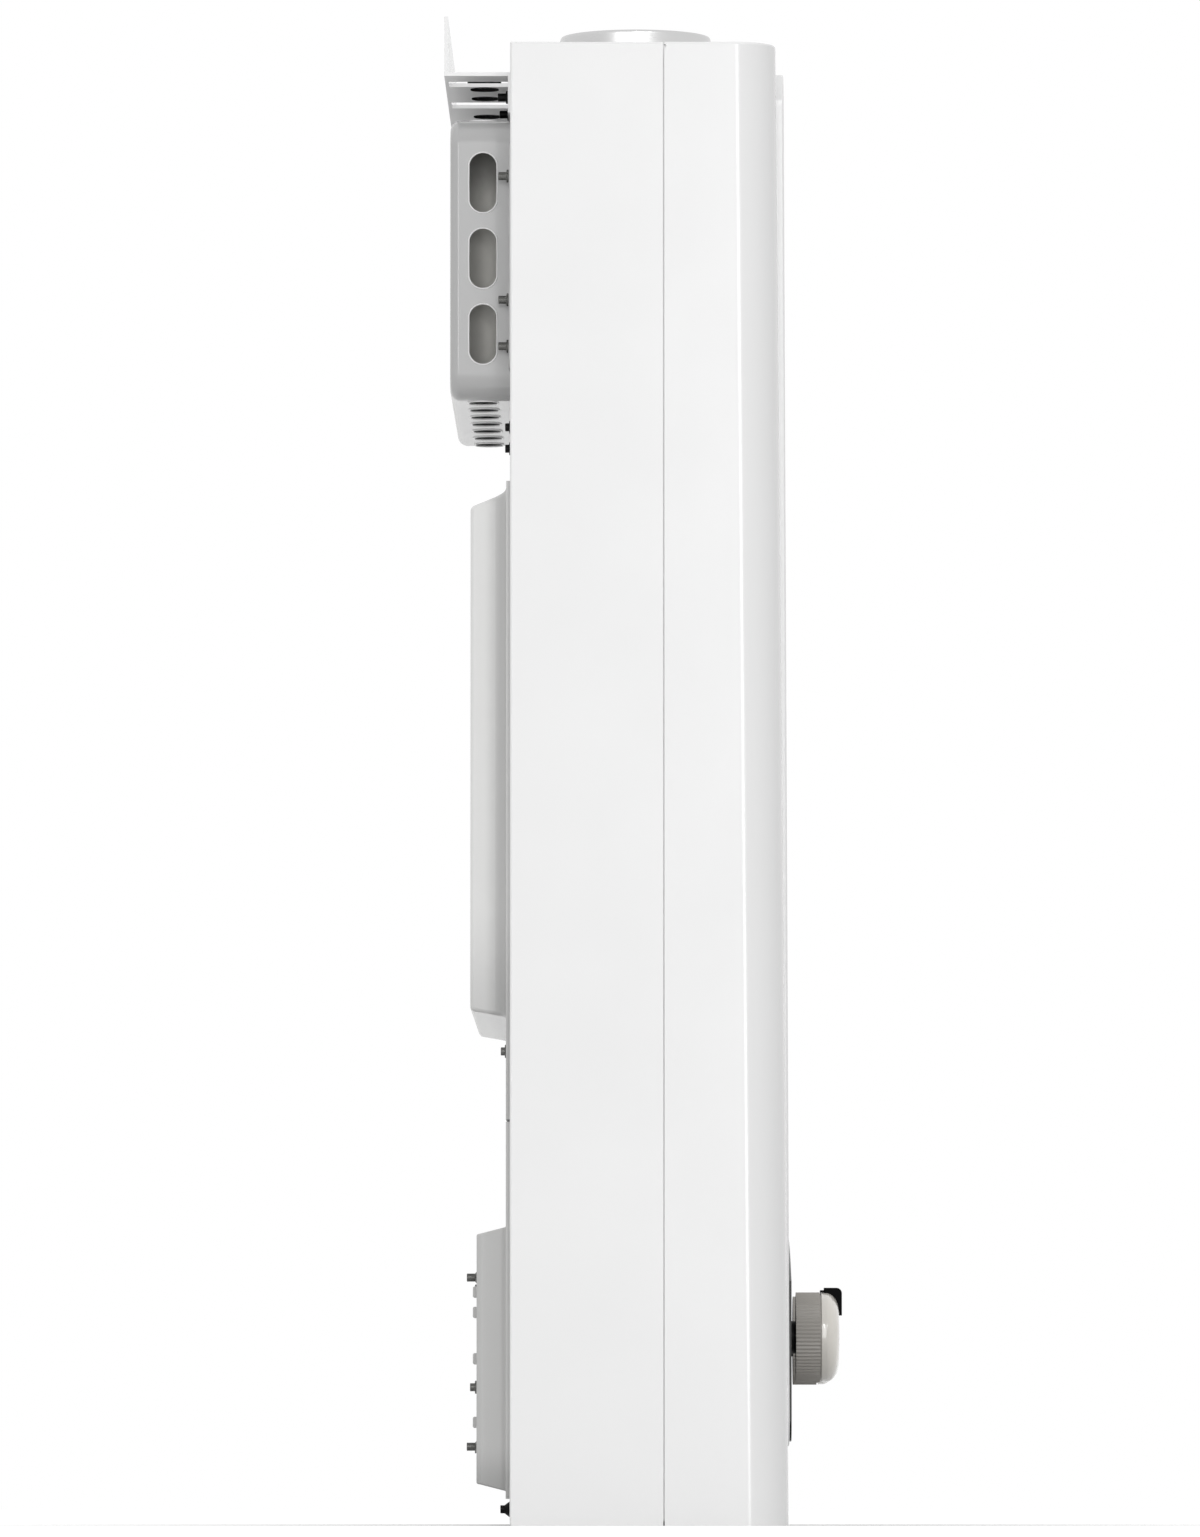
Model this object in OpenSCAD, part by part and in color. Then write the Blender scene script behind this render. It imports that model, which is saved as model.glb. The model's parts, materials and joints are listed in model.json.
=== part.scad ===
// Slim wall-hung tankless gas water heater with a forced-exhaust flue.
// Millimetres, +Z up, -Y is the front. The origin is under the middle of the whole object, on the floor.
// Inside the modules y = 0 is the back plane of the case, and a depth is measured forward from it.

/* [Case] */
// Width of the case
case_w = 330; // [320:1:345]
// Height of the case
case_h = 580; // [576:1:600]
// Depth of the rear chassis, from the back plane to the seam
chassis_depth = 59.8; // [57:0.1:62]
// Depth of the front cover at its top edge
cover_depth_top = 104; // [103.2:0.1:106]
// Depth of the front cover at its bottom edge
cover_depth_bottom = 108.7; // [107.8:0.1:112]
// Thickness of the case sheet
sheet_t = 1; // [0.7:0.05:1.2]
// Radius of the upright front corners
front_corner_r = 16; // [12:0.5:20]
// Width of the seam line between chassis and cover
seam_gap = 0.5; // [0.3:0.1:0.8]
// Length of the chassis lap inside the cover
lap_l = 10; // [6:0.5:12]
// Clearance between the lap and the cover
lap_gap = 0.3; // [0.2:0.05:0.4]
// Width of the folded hem round the open bottom
hem_w = 8; // [5:0.5:9]

/* [Front] */
// Distance from the case side to the raised front panel
panel_margin_x = 22; // [20:0.5:30]
// Height of the lower edge of the raised front panel
panel_low_z = 31; // [24:0.5:32]
// Distance from the top of the case to the raised front panel
panel_drop = 9; // [6:0.5:20]
// Radius of the corners of the raised front panel
panel_r = 14; // [8:0.5:20]
// Height of the raised front panel above the cover at its top edge
panel_rise_top = 3.2; // [2.4:0.1:4]
// Height of the raised front panel above the cover at its lower edge
panel_rise_low = 0.75; // [0.5:0.05:1]
// Distance from the side of the raised front panel to the control panel
control_margin = 25; // [15:0.5:40]
// Height of the lower edge of the control panel
control_low_z = 33; // [32.5:0.5:40]
// Height of the top of the control panel in its middle
control_top_z = 116; // [108:0.5:125]
// Height of the arch of the control panel's top edge
control_arch = 20; // [8:0.5:24]
// Radius of the lower corners of the control panel
control_r = 8; // [4:0.5:12]
// Height of the control panel's front face above the foot of the raised front panel
control_rise = 1.1; // [0.9:0.05:1.4]
// Width of the blank display window
window_w = 44; // [36:1:50]
// Height of the blank display window
window_h = 18; // [12:0.5:20]
// Depth of the blank display window's recess
window_t = 0.7; // [0.4:0.05:0.8]

/* [Knobs] */
// Distance between the two knob axes
knob_pitch = 96; // [92:0.5:98]
// Height of the knob axes
knob_z = 74.8; // [74:0.1:76]
// Radius of the knob grip
grip_r = 17.9; // [16:0.1:19]
// Length of the fluted grip
grip_l = 9.6; // [8:0.1:11]
// Gap between the control panel and the knob's back face
knob_gap = 2.5; // [1.5:0.1:3.2]
// Depth of one flute
flute_depth = 0.35; // [0.2:0.05:0.5]
// Number of flutes
flute_count = 72; // [48:6:96]
// Width of the groove between grip and cap
groove_w = 0.6; // [0.4:0.1:0.8]
// Length of the domed cap
cap_l = 7.1; // [6:0.1:8]
// Axial length of the cap's rounded edge
cap_round_l = 5.4; // [4:0.1:5.6]
// Radial width of the cap's rounded edge
cap_round_w = 8; // [6:0.1:10]
// Radius of the black hub behind the knob
hub_r = 6.5; // [5.5:0.1:7]
// Width of the black pointer
pointer_w = 4.2; // [3:0.1:6]
// Height of the pointer above the grip
pointer_rise = 1.8; // [1:0.1:2.5]
// How far the pointer stands in front of the cap
pointer_proud = 1.1; // [0.8:0.1:1.6]
// Length of the pointer along the axis
pointer_l = 7.2; // [6:0.1:7.6]
// Distance from the axis to the lower end of the pointer's front leg
pointer_low = 8.7; // [6:0.1:11]
// Radius of the pointer's outer corner
pointer_r = 2.2; // [1:0.1:3]
// Radius of the knob spindles
spindle_r = 4; // [3.5:0.05:4.5]
// Radial running clearance of everything that turns or slides in a bore
running_fit = 0.05; // [0.03:0.01:0.08]

/* [Flue] */
// Outer radius of the flue collar
collar_r = 30.5; // [29:0.1:32]
// Wall of the flue collar
collar_wall = 1; // [0.8:0.1:1.4]
// Height of the flue collar above the case
collar_rise = 21.3; // [15:0.1:30]
// Depth of the flue axis
flue_depth = 49; // [48:0.1:50]
// Width of the collar's flange
collar_flange_w = 9.5; // [6:0.5:12]
// Thickness of the collar's flange
collar_flange_t = 1.2; // [0.8:0.1:1.6]
// Gap between the collar and the hole in the case
collar_gap = 1.5; // [1:0.1:2]

/* [Wall bracket] */
// Distance from the back plane of the case to the back face of the tab
bracket_reach = 26.7; // [25.5:0.1:30]
// Width of the wall bracket
bracket_w = 220; // [214:1:230]
// Distance from the top of the case to the top of the shelf
bracket_drop = 5.5; // [4:0.1:8]
// Height of the tab above the shelf
tab_h = 22.2; // [18:0.1:26]
// Thickness of the bracket plate
bracket_t = 1.5; // [1.2:0.1:2]
// Height of the flange that is screwed to the case
bracket_flange_h = 16; // [13:0.5:16.5]
// Distance between the two wall screw holes
wall_hole_pitch = 180; // [160:1:190]
// Radius of the wall screw holes
wall_hole_r = 3; // [2.5:0.1:3.5]

/* [Air hood] */
// Width of the air hood
hood_w = 224; // [216:1:226]
// Height of the air hood
hood_h = 111.5; // [106:0.5:114]
// Distance from the top of the case to the top of the hood
hood_drop = 24; // [23.5:0.1:26]
// How far the hood stands out behind the case
hood_reach = 24.3; // [22:0.1:24.6]
// Radius of the hood's corners, seen from behind
hood_corner_r = 11; // [8:0.5:14]
// Radius of the hood's rear edges
hood_edge_r = 3.5; // [2:0.1:4.5]
// Width of the hood's slots
hood_slot_w = 11.3; // [9:0.1:12]
// Length of the upright slots in each side
side_slot_l = 24.1; // [20:0.1:25]
// Distance between the upright slots
side_slot_pitch = 30.1; // [28:0.1:31]
// Length of the slots in the underside
under_slot_l = 16; // [13:0.1:17]
// Distance between the slots in the underside and in the bracket shelf
under_slot_pitch = 31.5; // [29:0.1:32]
// Distance from the back plane of the case to the middle of the slots
slot_reach = 11.3; // [10:0.1:12]
// Width of the hood's screw flanges
hood_flange_w = 16; // [14:0.5:20]

/* [Rear panels] */
// Distance from the case side to the two rear panels
rear_margin = 9; // [8:0.5:14]
// Thickness of the two rear panels
rear_panel_t = 1.6; // [1.2:0.1:2]
// Height of the joint between the two rear panels
rear_joint_z = 157.8; // [150:0.1:160]
// Gap between the two rear panels
rear_joint_gap = 1; // [0.6:0.1:2]
// Height of the lower edge of the lower rear cover
lower_cover_low_z = 10.5; // [10:0.5:12]
// Bottom of the middle bulge
middle_low_z = 199; // [190:0.5:205]
// Distance from the air hood down to the top of the middle bulge
middle_drop = 37.9; // [34:0.1:46]
// Distance from the side of the rear panel to the foot of the middle bulge
middle_margin = 22; // [18:0.5:34]
// How far the middle bulge stands out
middle_reach = 15.9; // [12:0.1:18]
// Bottom of the lower bulge
lower_low_z = 13.5; // [13:0.1:16]
// Top of the lower bulge
lower_top_z = 116.7; // [112:0.1:120]
// Distance from the side of the lower rear cover to the foot of the lower bulge
lower_margin = 14; // [10:0.5:26]
// How far the lower bulge stands out
lower_reach = 13.2; // [11:0.1:15]

/* [Bottom and pipe fittings] */
// Height of the bottom plate's underside
floor_z = 34; // [32:0.5:35]
// Thickness of the bottom plate
floor_t = 1.5; // [1:0.1:1.6]
// Outer radius of the half-inch pipe fittings
fitting_r = 10.45; // [10:0.05:11]
// Bore radius of the pipe fittings
fitting_bore_r = 7.5; // [6:0.1:8]
// Height of the lower ends of the pipe fittings
fitting_low_z = 6; // [4:0.5:10]
// Width across the corners of the fittings' nuts
nut_w = 32; // [28:0.5:34]
// Height of the fittings' nuts above the bottom plate
nut_h = 6; // [4:0.5:7]
// Width across the corners of the locknuts under the bottom plate
locknut_w = 28; // [26:0.5:30]
// Height of the locknuts
locknut_h = 4; // [3:0.5:5]
// Radius of the water and gas pipes
pipe_r = 5; // [4:0.1:5.5]
// Bend radius of the pipes on their centre line
bend_r = 7; // [6:0.1:7.2]
// Bore radius of the mains cable gland
gland_bore_r = 4.2; // [3:0.1:5]

/* [Heat exchanger] */
// Clearance between the controller box and the water coil
side_clear = 4.2; // [3:0.1:8]
// Depth of the shell's rear wall
shell_rear = 16; // [15.5:0.1:17]
// Height of the burner box's underside
burner_low_z = 172; // [168:0.5:180]
// Height of the burner box
burner_h = 80; // [76:0.5:84]
// Thickness of the burner and exchanger sheet
shell_t = 1; // [0.8:0.05:1.2]
// Radius of the exchanger tubes
tube_r = 7.8; // [7:0.1:8.2]
// Distance from the shell's top edge down to the exchanger tubes
tube_drop = 26; // [24:0.5:30]
// Number of fins
fin_count = 25; // [15:2:31]
// Thickness of one fin
fin_t = 0.6; // [0.4:0.05:0.8]
// Height of one fin
fin_h = 36; // [28:0.5:38]
// Distance from the joint of burner box and shell up to the first turn of the water coil
coil_rise = 24; // [23.5:0.5:30]

/* [Burner] */
// Number of burner blades
blade_count = 12; // [8:1:12]
// Distance from the burner box's wall to the row of burner blades
blade_margin = 10; // [6:0.5:12]
// Thickness of one burner blade
blade_t = 6; // [4:0.1:8]
// Height of one burner blade
blade_h = 48; // [40:0.5:50]
// Height of the blades' feet above the burner box's underside
rail_rise = 26; // [22:0.5:28]

/* [Fan] */
// Outer radius of the fan wheel
wheel_r = 38; // [34:0.5:40]
// Number of fan blades
fan_blade_count = 24; // [16:2:32]
// Radius of the fan shaft
shaft_r = 4; // [3:0.05:4.5]
// Radius of the fan motor
motor_r = 30; // [26:0.5:32]

/* [Hidden] */
$fn = 64;
// How far a cut runs past the face that it opens
overrun = 2;
// Gap between curved or close pieces that are seated on each other
seat_gap = 0.3;
// Fineness of the small round parts
small_fn = 32;

white = "#f0f0f0";
hood_grey = "#b4b4b4";
steel = "#c9cbcb";
dark_steel = "#5c5c5a";
copper = "#b87333";
brass = "#c8a64b";
black = "#151515";
grey_plastic = "#c9c6bf";
grip_grey = "#9a9792";

// Where the case's back plane lies, so that the origin is under the middle of the whole depth
function cover_depth(z) = cover_depth_bottom + (cover_depth_top - cover_depth_bottom) * z / case_h;
panel_depth_low = cover_depth(panel_low_z) + panel_rise_low;
control_face_depth = panel_depth_low + control_rise;
knob_back_depth = control_face_depth + knob_gap;
cap_face_depth = knob_back_depth + grip_l + groove_w + cap_l;
front_reach = cap_face_depth + pointer_proud;
back_plane_y = (front_reach - bracket_reach) / 2;
cover_lean = atan((cover_depth_bottom - cover_depth_top) / case_h);
panel_top_z = case_h - panel_drop;
panel_depth_top = cover_depth(panel_top_z) + panel_rise_top;
panel_lean = atan((panel_depth_low - panel_depth_top) / (panel_top_z - panel_low_z));
// Deeper than any front face, to bound the blocks that the leaning faces cut
past_front = front_reach + overrun;
inner_half_w = case_w / 2 - sheet_t;
lap_half_w = inner_half_w - lap_gap;
floor_top_z = floor_z + floor_t;

module in_frame() {
  translate([0, back_plane_y, 0]) children();
}

// A block between two values on each axis, with its depths measured forward from the back plane
module block(x, depth, z) {
  translate([x[0], -depth[1], z[0]]) cube([x[1] - x[0], depth[1] - depth[0], z[1] - z[0]]);
}

// Sets a drawing in X and Z upright at a depth and extrudes it forward
module forward(depth, length) {
  translate([0, -depth, 0]) rotate([90, 0, 0]) linear_extrude(length) children();
}

// A round bar that runs forward from a depth
module bar_forward(x, depth, z, r, length) {
  translate([x, -depth, z]) rotate([90, 0, 0]) cylinder(h = length, r = r);
}

// A round bar along +X
module bar_across(x, depth, z, r, length) {
  translate([x, -depth, z]) rotate([0, 90, 0]) cylinder(h = length, r = r);
}

// A round bar straight up
module bar_up(x, depth, z, r, length) {
  translate([x, -depth, z]) cylinder(h = length, r = r);
}

module round_rect(w, h, r) {
  square([w - 2 * r, h], center = true);
  square([w, h - 2 * r], center = true);
  for (sx = [-1, 1], sy = [-1, 1])
    translate([sx * (w / 2 - r), sy * (h / 2 - r)]) circle(r);
}

module mirrored_x() {
  children();
  mirror([1, 0, 0]) children();
}

// One straight length of pipe between two points
module pipe_run(a, b, r) {
  d = b - a;
  length = norm(d);
  u = d / length;
  p = abs(u[2]) > 0.5 ? [1, 0, 0] : [0, 0, 1];
  q = cross(u, p);
  multmatrix([[p[0], q[0], u[0], a[0]], [p[1], q[1], u[1], a[1]], [p[2], q[2], u[2], a[2]], [0, 0, 0, 1]])
    cylinder(h = length, r = r);
}

// One right-angled bend of a pipe round a corner, from direction u to direction v
module pipe_bend(corner, u, v, r, turn_r) {
  c = corner + (v - u) * turn_r;
  w = cross(-v, u);
  multmatrix([[-v[0], u[0], w[0], c[0]], [-v[1], u[1], w[1], c[1]], [-v[2], u[2], w[2], c[2]], [0, 0, 0, 1]])
    rotate_extrude(angle = 90) translate([turn_r, 0]) circle(r);
}

function unit(v) = v / norm(v);

// A pipe through points whose runs lie along the axes, with a round bend at each corner
module pipe(points, r, turn_r) {
  last = len(points) - 1;
  for (i = [0 : last - 1]) {
    u = unit(points[i + 1] - points[i]);
    a = points[i] + (i == 0 ? 0 : turn_r) * u;
    b = points[i + 1] - (i == last - 1 ? 0 : turn_r) * u;
    if (norm(b - a) > turn_r / 100) pipe_run(a, b, r);
    if (i < last - 1) pipe_bend(points[i + 1], u, unit(points[i + 2] - points[i + 1]), r, turn_r);
  }
}

// Case

module cover_plan(inset) {
  r = front_corner_r - inset;
  w = case_w - 2 * inset;
  back = cover_depth_bottom;
  translate([-w / 2, inset + r]) square([w, back]);
  translate([-w / 2 + r, inset]) square([w - 2 * r, back]);
  for (s = [-1, 1]) translate([s * (w / 2 - r), inset + r]) circle(r);
}

// The cover's leaning outer form, or its inner form when it is inset
module cover_form(inset, rear, low, top) {
  intersection() {
    translate([0, -cover_depth_bottom, 0]) rotate([-cover_lean, 0, 0])
      translate([0, 0, -case_h / 2]) linear_extrude(case_h * 2) cover_plan(inset);
    block([-case_w, case_w], [rear, past_front], [low, top]);
  }
}

// Everything behind the raised front panel's leaning face
module behind_panel_face() {
  translate([0, -panel_depth_low, panel_low_z]) rotate([-panel_lean, 0, 0])
    translate([-case_w / 2, 0, -case_h / 2]) cube([case_w, cover_depth_bottom, case_h * 2]);
}

flange_seat_z = case_h - sheet_t - lap_gap - sheet_t;
collar_hole_r = collar_r + collar_gap;
lap_front = flue_depth + collar_hole_r + lap_l / 2.5;
intake_share = 0.8;
intake_margin = 18;

module rear_chassis() {
  color(white) in_frame() difference() {
    union() {
      difference() {
        block([-case_w / 2, case_w / 2], [0, chassis_depth], [0, case_h]);
        block([-inner_half_w, inner_half_w], [sheet_t, past_front], [sheet_t, case_h - sheet_t]);
        block([-case_w / 2 + hem_w, case_w / 2 - hem_w], [hem_w, past_front], [-overrun, sheet_t + overrun]);
      }
      // Laps inside the cover, joggled in from the side walls and the top
      mirrored_x() {
        block([lap_half_w - sheet_t, lap_half_w], [chassis_depth - 3 * sheet_t, chassis_depth + lap_l],
          [2 * sheet_t, flange_seat_z + sheet_t]);
        block([lap_half_w - sheet_t, inner_half_w], [chassis_depth - 3 * sheet_t, chassis_depth],
          [2 * sheet_t, flange_seat_z + sheet_t]);
      }
      block([-lap_half_w, lap_half_w], [chassis_depth - 3 * sheet_t, lap_front],
        [flange_seat_z, flange_seat_z + sheet_t]);
      block([-inner_half_w, inner_half_w], [chassis_depth - 3 * sheet_t, chassis_depth],
        [flange_seat_z, case_h - sheet_t]);
    }
    bar_up(0, flue_depth, flange_seat_z - overrun, collar_hole_r, case_h);
    // Air intake behind the hood
    block([-intake_share * hood_w / 2, intake_share * hood_w / 2], [-overrun, sheet_t + overrun],
      [hood_low_z + intake_margin, hood_top_z - intake_margin]);
    // Windows behind the two bulges
    block([-middle_half_w + bulge_inset, middle_half_w - bulge_inset], [-overrun, sheet_t + overrun],
      [middle_low_z + bulge_inset, middle_top_z - bulge_inset]);
    block([-lower_half_w + bulge_inset, lower_half_w - bulge_inset], [-overrun, sheet_t + overrun],
      [floor_top_z + overrun, lower_top_z - bulge_inset / 2]);
  }
}

hub_hole_r = hub_r + 1.5 * seat_gap;

module knob_hub_holes() {
  for (s = [-1, 1]) bar_forward(s * knob_pitch / 2, chassis_depth, knob_z, hub_hole_r, past_front);
}

module front_cover() {
  color(white) in_frame() difference() {
    cover_form(0, chassis_depth + seam_gap, 0, case_h);
    cover_form(sheet_t, 0, sheet_t, case_h - sheet_t);
    // Open bottom inside the hem
    cover_form(hem_w, 0, -overrun, sheet_t + overrun);
    // Open slot round the flue collar, so that the cover slides on from the front
    bar_up(0, flue_depth, case_h - sheet_t - overrun, collar_hole_r, 2 * overrun + sheet_t);
    block([-collar_hole_r, collar_hole_r], [0, flue_depth], [case_h - sheet_t - overrun, case_h + overrun]);
    // Small notch at the top of the seam, on both sides
    mirrored_x()
      bar_across(case_w / 2 - 2 * overrun, chassis_depth + seam_gap, case_h - seam_notch_drop, seam_notch_r,
        3 * overrun);
    knob_hub_holes();
  }
}

seam_notch_drop = 1.8;
seam_notch_r = 0.8;

module front_panel() {
  color(white) in_frame() difference() {
    intersection() {
      translate([0, 0, (panel_low_z + panel_top_z) / 2])
        forward(cover_depth_top - panel_rise_top, past_front)
          round_rect(case_w - 2 * panel_margin_x, panel_top_z - panel_low_z, panel_r);
      behind_panel_face();
    }
    cover_form(0, 0, 0, case_h * 2);
    knob_hub_holes();
  }
}

control_w = case_w - 2 * panel_margin_x - 2 * control_margin;
control_h = control_top_z - control_low_z;
control_arch_r = (control_w * control_w / 4 + control_arch * control_arch) / (2 * control_arch);

module control_outline() {
  intersection() {
    translate([0, control_low_z + control_h]) round_rect(control_w, 2 * control_h, control_r);
    translate([0, control_top_z - control_arch_r]) circle(control_arch_r, $fn = 256);
  }
}

window_z = knob_z + hub_r + window_h / 2;

module control_panel() {
  color(black) in_frame() difference() {
    forward(cover_depth_top - panel_rise_top, control_face_depth - cover_depth_top + panel_rise_top)
      control_outline();
    behind_panel_face();
    cover_form(0, 0, 0, case_h);
    knob_hub_holes();
    block([-window_w / 2, window_w / 2], [control_face_depth - window_t, past_front],
      [window_z - window_h / 2, window_z + window_h / 2]);
  }
}

module display_window() {
  color("#2a2e33") in_frame()
    block([-window_w / 2, window_w / 2], [control_face_depth - window_t, control_face_depth],
      [window_z - window_h / 2, window_z + window_h / 2]);
}

fitting_depth = 50;
cold_offset = 18;
drain_offset = 8;
hot_share = 0.76;
gland_share = -0.74;
gas_x = -knob_pitch / 2;
water_x = knob_pitch / 2;
cold_x = water_x + cold_offset;
hot_x = hot_share * case_w / 2;
gland_x = gland_share * case_w / 2;
drain_x = water_x - drain_offset;
drain_r = 7;
gland_r = 9;
air_slot_w = 5;
air_slot_l = 36;
air_slot_pitch = 12;
floor_flange_h = 12;

module bottom_plate() {
  half = lap_half_w - sheet_t - seat_gap;
  color(steel) in_frame() difference() {
    union() {
      intersection() {
        block([-half, half], [sheet_t, past_front], [floor_z, floor_top_z]);
        cover_form(3 * sheet_t, 0, 0, case_h);
      }
      // Flanges that are screwed to the chassis's back
      mirrored_x() block([lower_half_w - bulge_inset, half], [sheet_t, sheet_t + floor_t],
        [floor_z, floor_top_z + floor_flange_h]);
    }
    for (x = [gas_x, cold_x, hot_x])
      bar_up(x, fitting_depth, floor_z - overrun, fitting_r + seat_gap, floor_t + 2 * overrun);
    bar_up(drain_x, fitting_depth, floor_z - overrun, drain_r + seat_gap, floor_t + 2 * overrun);
    bar_up(gland_x, fitting_depth, floor_z - overrun, gland_r + seat_gap, floor_t + 2 * overrun);
    // Combustion air slots
    for (i = [-2 : 2])
      block([i * air_slot_pitch - air_slot_w / 2, i * air_slot_pitch + air_slot_w / 2],
        [fitting_depth + fitting_r, fitting_depth + fitting_r + air_slot_l],
        [floor_z - overrun, floor_top_z + overrun]);
  }
}

// Back of the case

hood_top_z = case_h - hood_drop;
hood_low_z = hood_top_z - hood_h;

// The hood's outer form, or its hollow when it is inset
module hood_form(inset) {
  r_corner = hood_corner_r - inset;
  r_edge = hood_edge_r - inset;
  w = hood_w - 2 * inset;
  h = hood_h - 2 * inset;
  reach = hood_reach - inset;
  translate([0, 0, (hood_top_z + hood_low_z) / 2]) intersection() {
    translate([0, reach, 0]) rotate([90, 0, 0]) linear_extrude(reach + inset) round_rect(w, h, r_corner);
    linear_extrude(h, center = true) round_rect(w, 2 * reach, r_edge);
    rotate([90, 0, 90]) linear_extrude(w, center = true) round_rect(2 * reach, h, r_edge);
  }
}

module upright_slot(length, w) {
  square([w, length - w], center = true);
  for (s = [-1, 1]) translate([0, s * (length - w) / 2]) circle(w / 2);
}

module air_hood() {
  color(hood_grey) in_frame() {
    difference() {
      hood_form(0);
      hood_form(sheet_t);
      // Upright slots in both sides
      for (i = [-1 : 1])
        translate([-hood_w, slot_reach, (hood_top_z + hood_low_z) / 2 + i * side_slot_pitch])
          rotate([90, 0, 90]) linear_extrude(2 * hood_w) upright_slot(side_slot_l, hood_slot_w);
      // Slots through underside and top
      for (i = [-3 : 3])
        translate([i * under_slot_pitch, slot_reach, hood_low_z - overrun])
          linear_extrude(hood_h + 2 * overrun) rotate(90) upright_slot(under_slot_l, hood_slot_w);
    }
    mirrored_x()
      block([hood_w / 2, hood_w / 2 + hood_flange_w], [-sheet_t, 0],
        [hood_low_z + hood_corner_r, hood_top_z - hood_corner_r]);
  }
}

shelf_z = case_h - bracket_drop;
shelf_window_low_share = -0.82;
shelf_window_high_share = -0.66;
shelf_middle_low_share = -0.173;
shelf_middle_high_share = 0.014;

module wall_bracket() {
  half = bracket_w / 2;
  windows = [
    [shelf_window_low_share * half, shelf_window_high_share * half],
    [shelf_middle_low_share * half, shelf_middle_high_share * half],
    [-shelf_window_high_share * half, -shelf_window_low_share * half]
  ];
  color(white) in_frame() difference() {
    union() {
      block([-half, half], [-bracket_t, 0], [shelf_z - bracket_flange_h, shelf_z]);
      block([-half, half], [-bracket_reach, 0], [shelf_z - bracket_t, shelf_z]);
      block([-half, half], [-bracket_reach, bracket_t - bracket_reach],
        [shelf_z - bracket_t, shelf_z + tab_h]);
    }
    for (w = windows)
      block(w, [bracket_t - bracket_reach, -bracket_t], [shelf_z - bracket_t - overrun, shelf_z + overrun]);
    for (i = [-2, -1, 1, 2])
      translate([i * under_slot_pitch, slot_reach, shelf_z - bracket_t - overrun])
        linear_extrude(bracket_t + 2 * overrun) rotate(90) upright_slot(under_slot_l, hood_slot_w);
    for (s = [-1, 1])
      bar_forward(s * wall_hole_pitch / 2, -bracket_reach - overrun, shelf_z + tab_h / 2, wall_hole_r,
        bracket_t + 2 * overrun);
  }
}

rear_half_w = case_w / 2 - rear_margin;
middle_half_w = rear_half_w - middle_margin;
lower_half_w = rear_half_w - lower_margin;
middle_top_z = hood_low_z - middle_drop;

// A pressed bulge: steep foot, then a chamfer to its flat rear face
bulge_inset = 14;
foot_share = 0.4;
flank_share = 0.6;

module bulge_form(half_w, low_z, top_z, reach, low_draft, top_draft, inset) {
  foot = reach * foot_share;
  w = half_w - inset;
  out = reach - inset;
  face_w = w - reach * flank_share;
  intersection() {
    translate([0, 0, low_z]) linear_extrude(top_z - low_z)
      polygon([[-w, -overrun], [w, -overrun], [w, 0], [w - foot / 6, foot], [face_w, out],
        [-face_w, out], [-w + foot / 6, foot], [-w, 0]]);
    rotate([90, 0, 90]) linear_extrude(2 * half_w, center = true)
      polygon([[-overrun, low_z + inset], [-overrun, top_z - inset], [0, top_z - inset],
        [out, top_z - inset - top_draft], [out, low_z + inset + low_draft], [0, low_z + inset]]);
  }
}

middle_top_draft = 6.4;
middle_low_draft = 2.8;

module middle_bulge(inset) {
  bulge_form(middle_half_w, middle_low_z, middle_top_z, middle_reach, middle_low_draft, middle_top_draft, inset);
}

module rear_panel() {
  color(steel) in_frame() difference() {
    union() {
      block([-rear_half_w, rear_half_w], [-rear_panel_t, 0],
        [rear_joint_z + rear_joint_gap / 2, middle_top_z + rear_panel_t]);
      middle_bulge(0);
    }
    middle_bulge(rear_panel_t);
    // The pressing stays behind the back plane
    block([-case_w, case_w], [0, past_front], [0, case_h]);
  }
}

lower_draft = 2.9;
clip_h = 4.4;
clip_rise = 1.6;
clip_w = 9;
clip_shares = [0.755, 0.678, 0.502, 0.261];

module lower_bulge(inset) {
  bulge_form(lower_half_w, lower_low_z, lower_top_z, lower_reach, lower_draft, lower_draft, inset);
}

module lower_rear_cover() {
  height = lower_top_z - lower_low_z;
  x = rear_screw_x + clip_w / 2;
  color(steel) in_frame() {
    difference() {
      union() {
        block([-rear_half_w, rear_half_w], [-rear_panel_t, 0],
          [lower_cover_low_z, rear_joint_z - rear_joint_gap / 2]);
        lower_bulge(0);
      }
      lower_bulge(rear_panel_t);
      block([-case_w, case_w], [0, past_front], [0, case_h]);
    }
    // Small pressed clips on the rear face
    mirrored_x() for (share = clip_shares)
      block([x, x + 0.7 * clip_w], [-lower_reach - clip_rise, -lower_reach],
        [lower_low_z + share * height - clip_h / 2, lower_low_z + share * height + clip_h / 2]);
  }
}

// Screws

// A screw head with a washer that stands out to the rear of a face at a reach
module rear_screw(x, reach, z, head_r, head_h, washer_r, washer_h) {
  translate([x, reach, z]) rotate([-90, 0, 0]) {
    cylinder(h = washer_h, r = washer_r, $fn = small_fn);
    translate([0, 0, washer_h]) cylinder(h = head_h, r = head_r, $fn = small_fn);
  }
}

// A screw head over a cone-shaped washer
module cone_screw(x, reach, z, head_r, head_h, cone_r, cone_h) {
  translate([x, reach, z]) rotate([-90, 0, 0]) {
    cylinder(h = cone_h, r1 = cone_r, r2 = head_r, $fn = small_fn);
    translate([0, 0, cone_h]) cylinder(h = head_h, r = head_r, $fn = small_fn);
  }
}

screw_r = 1.6;
screw_h = 3.2;
washer_r = 2.6;
washer_h = 0.9;
hood_screw_shares = [0.785, 0.345, 0.18];
rear_screw_x = lower_half_w - 1.5 * hood_flange_w;
rear_rim_w = 4;
rear_edge_screw_x = rear_half_w - 1.5 * rear_rim_w;
lower_screw_shares = [0.812, 0.169];
flat_screw_share = 0.395;

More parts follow.
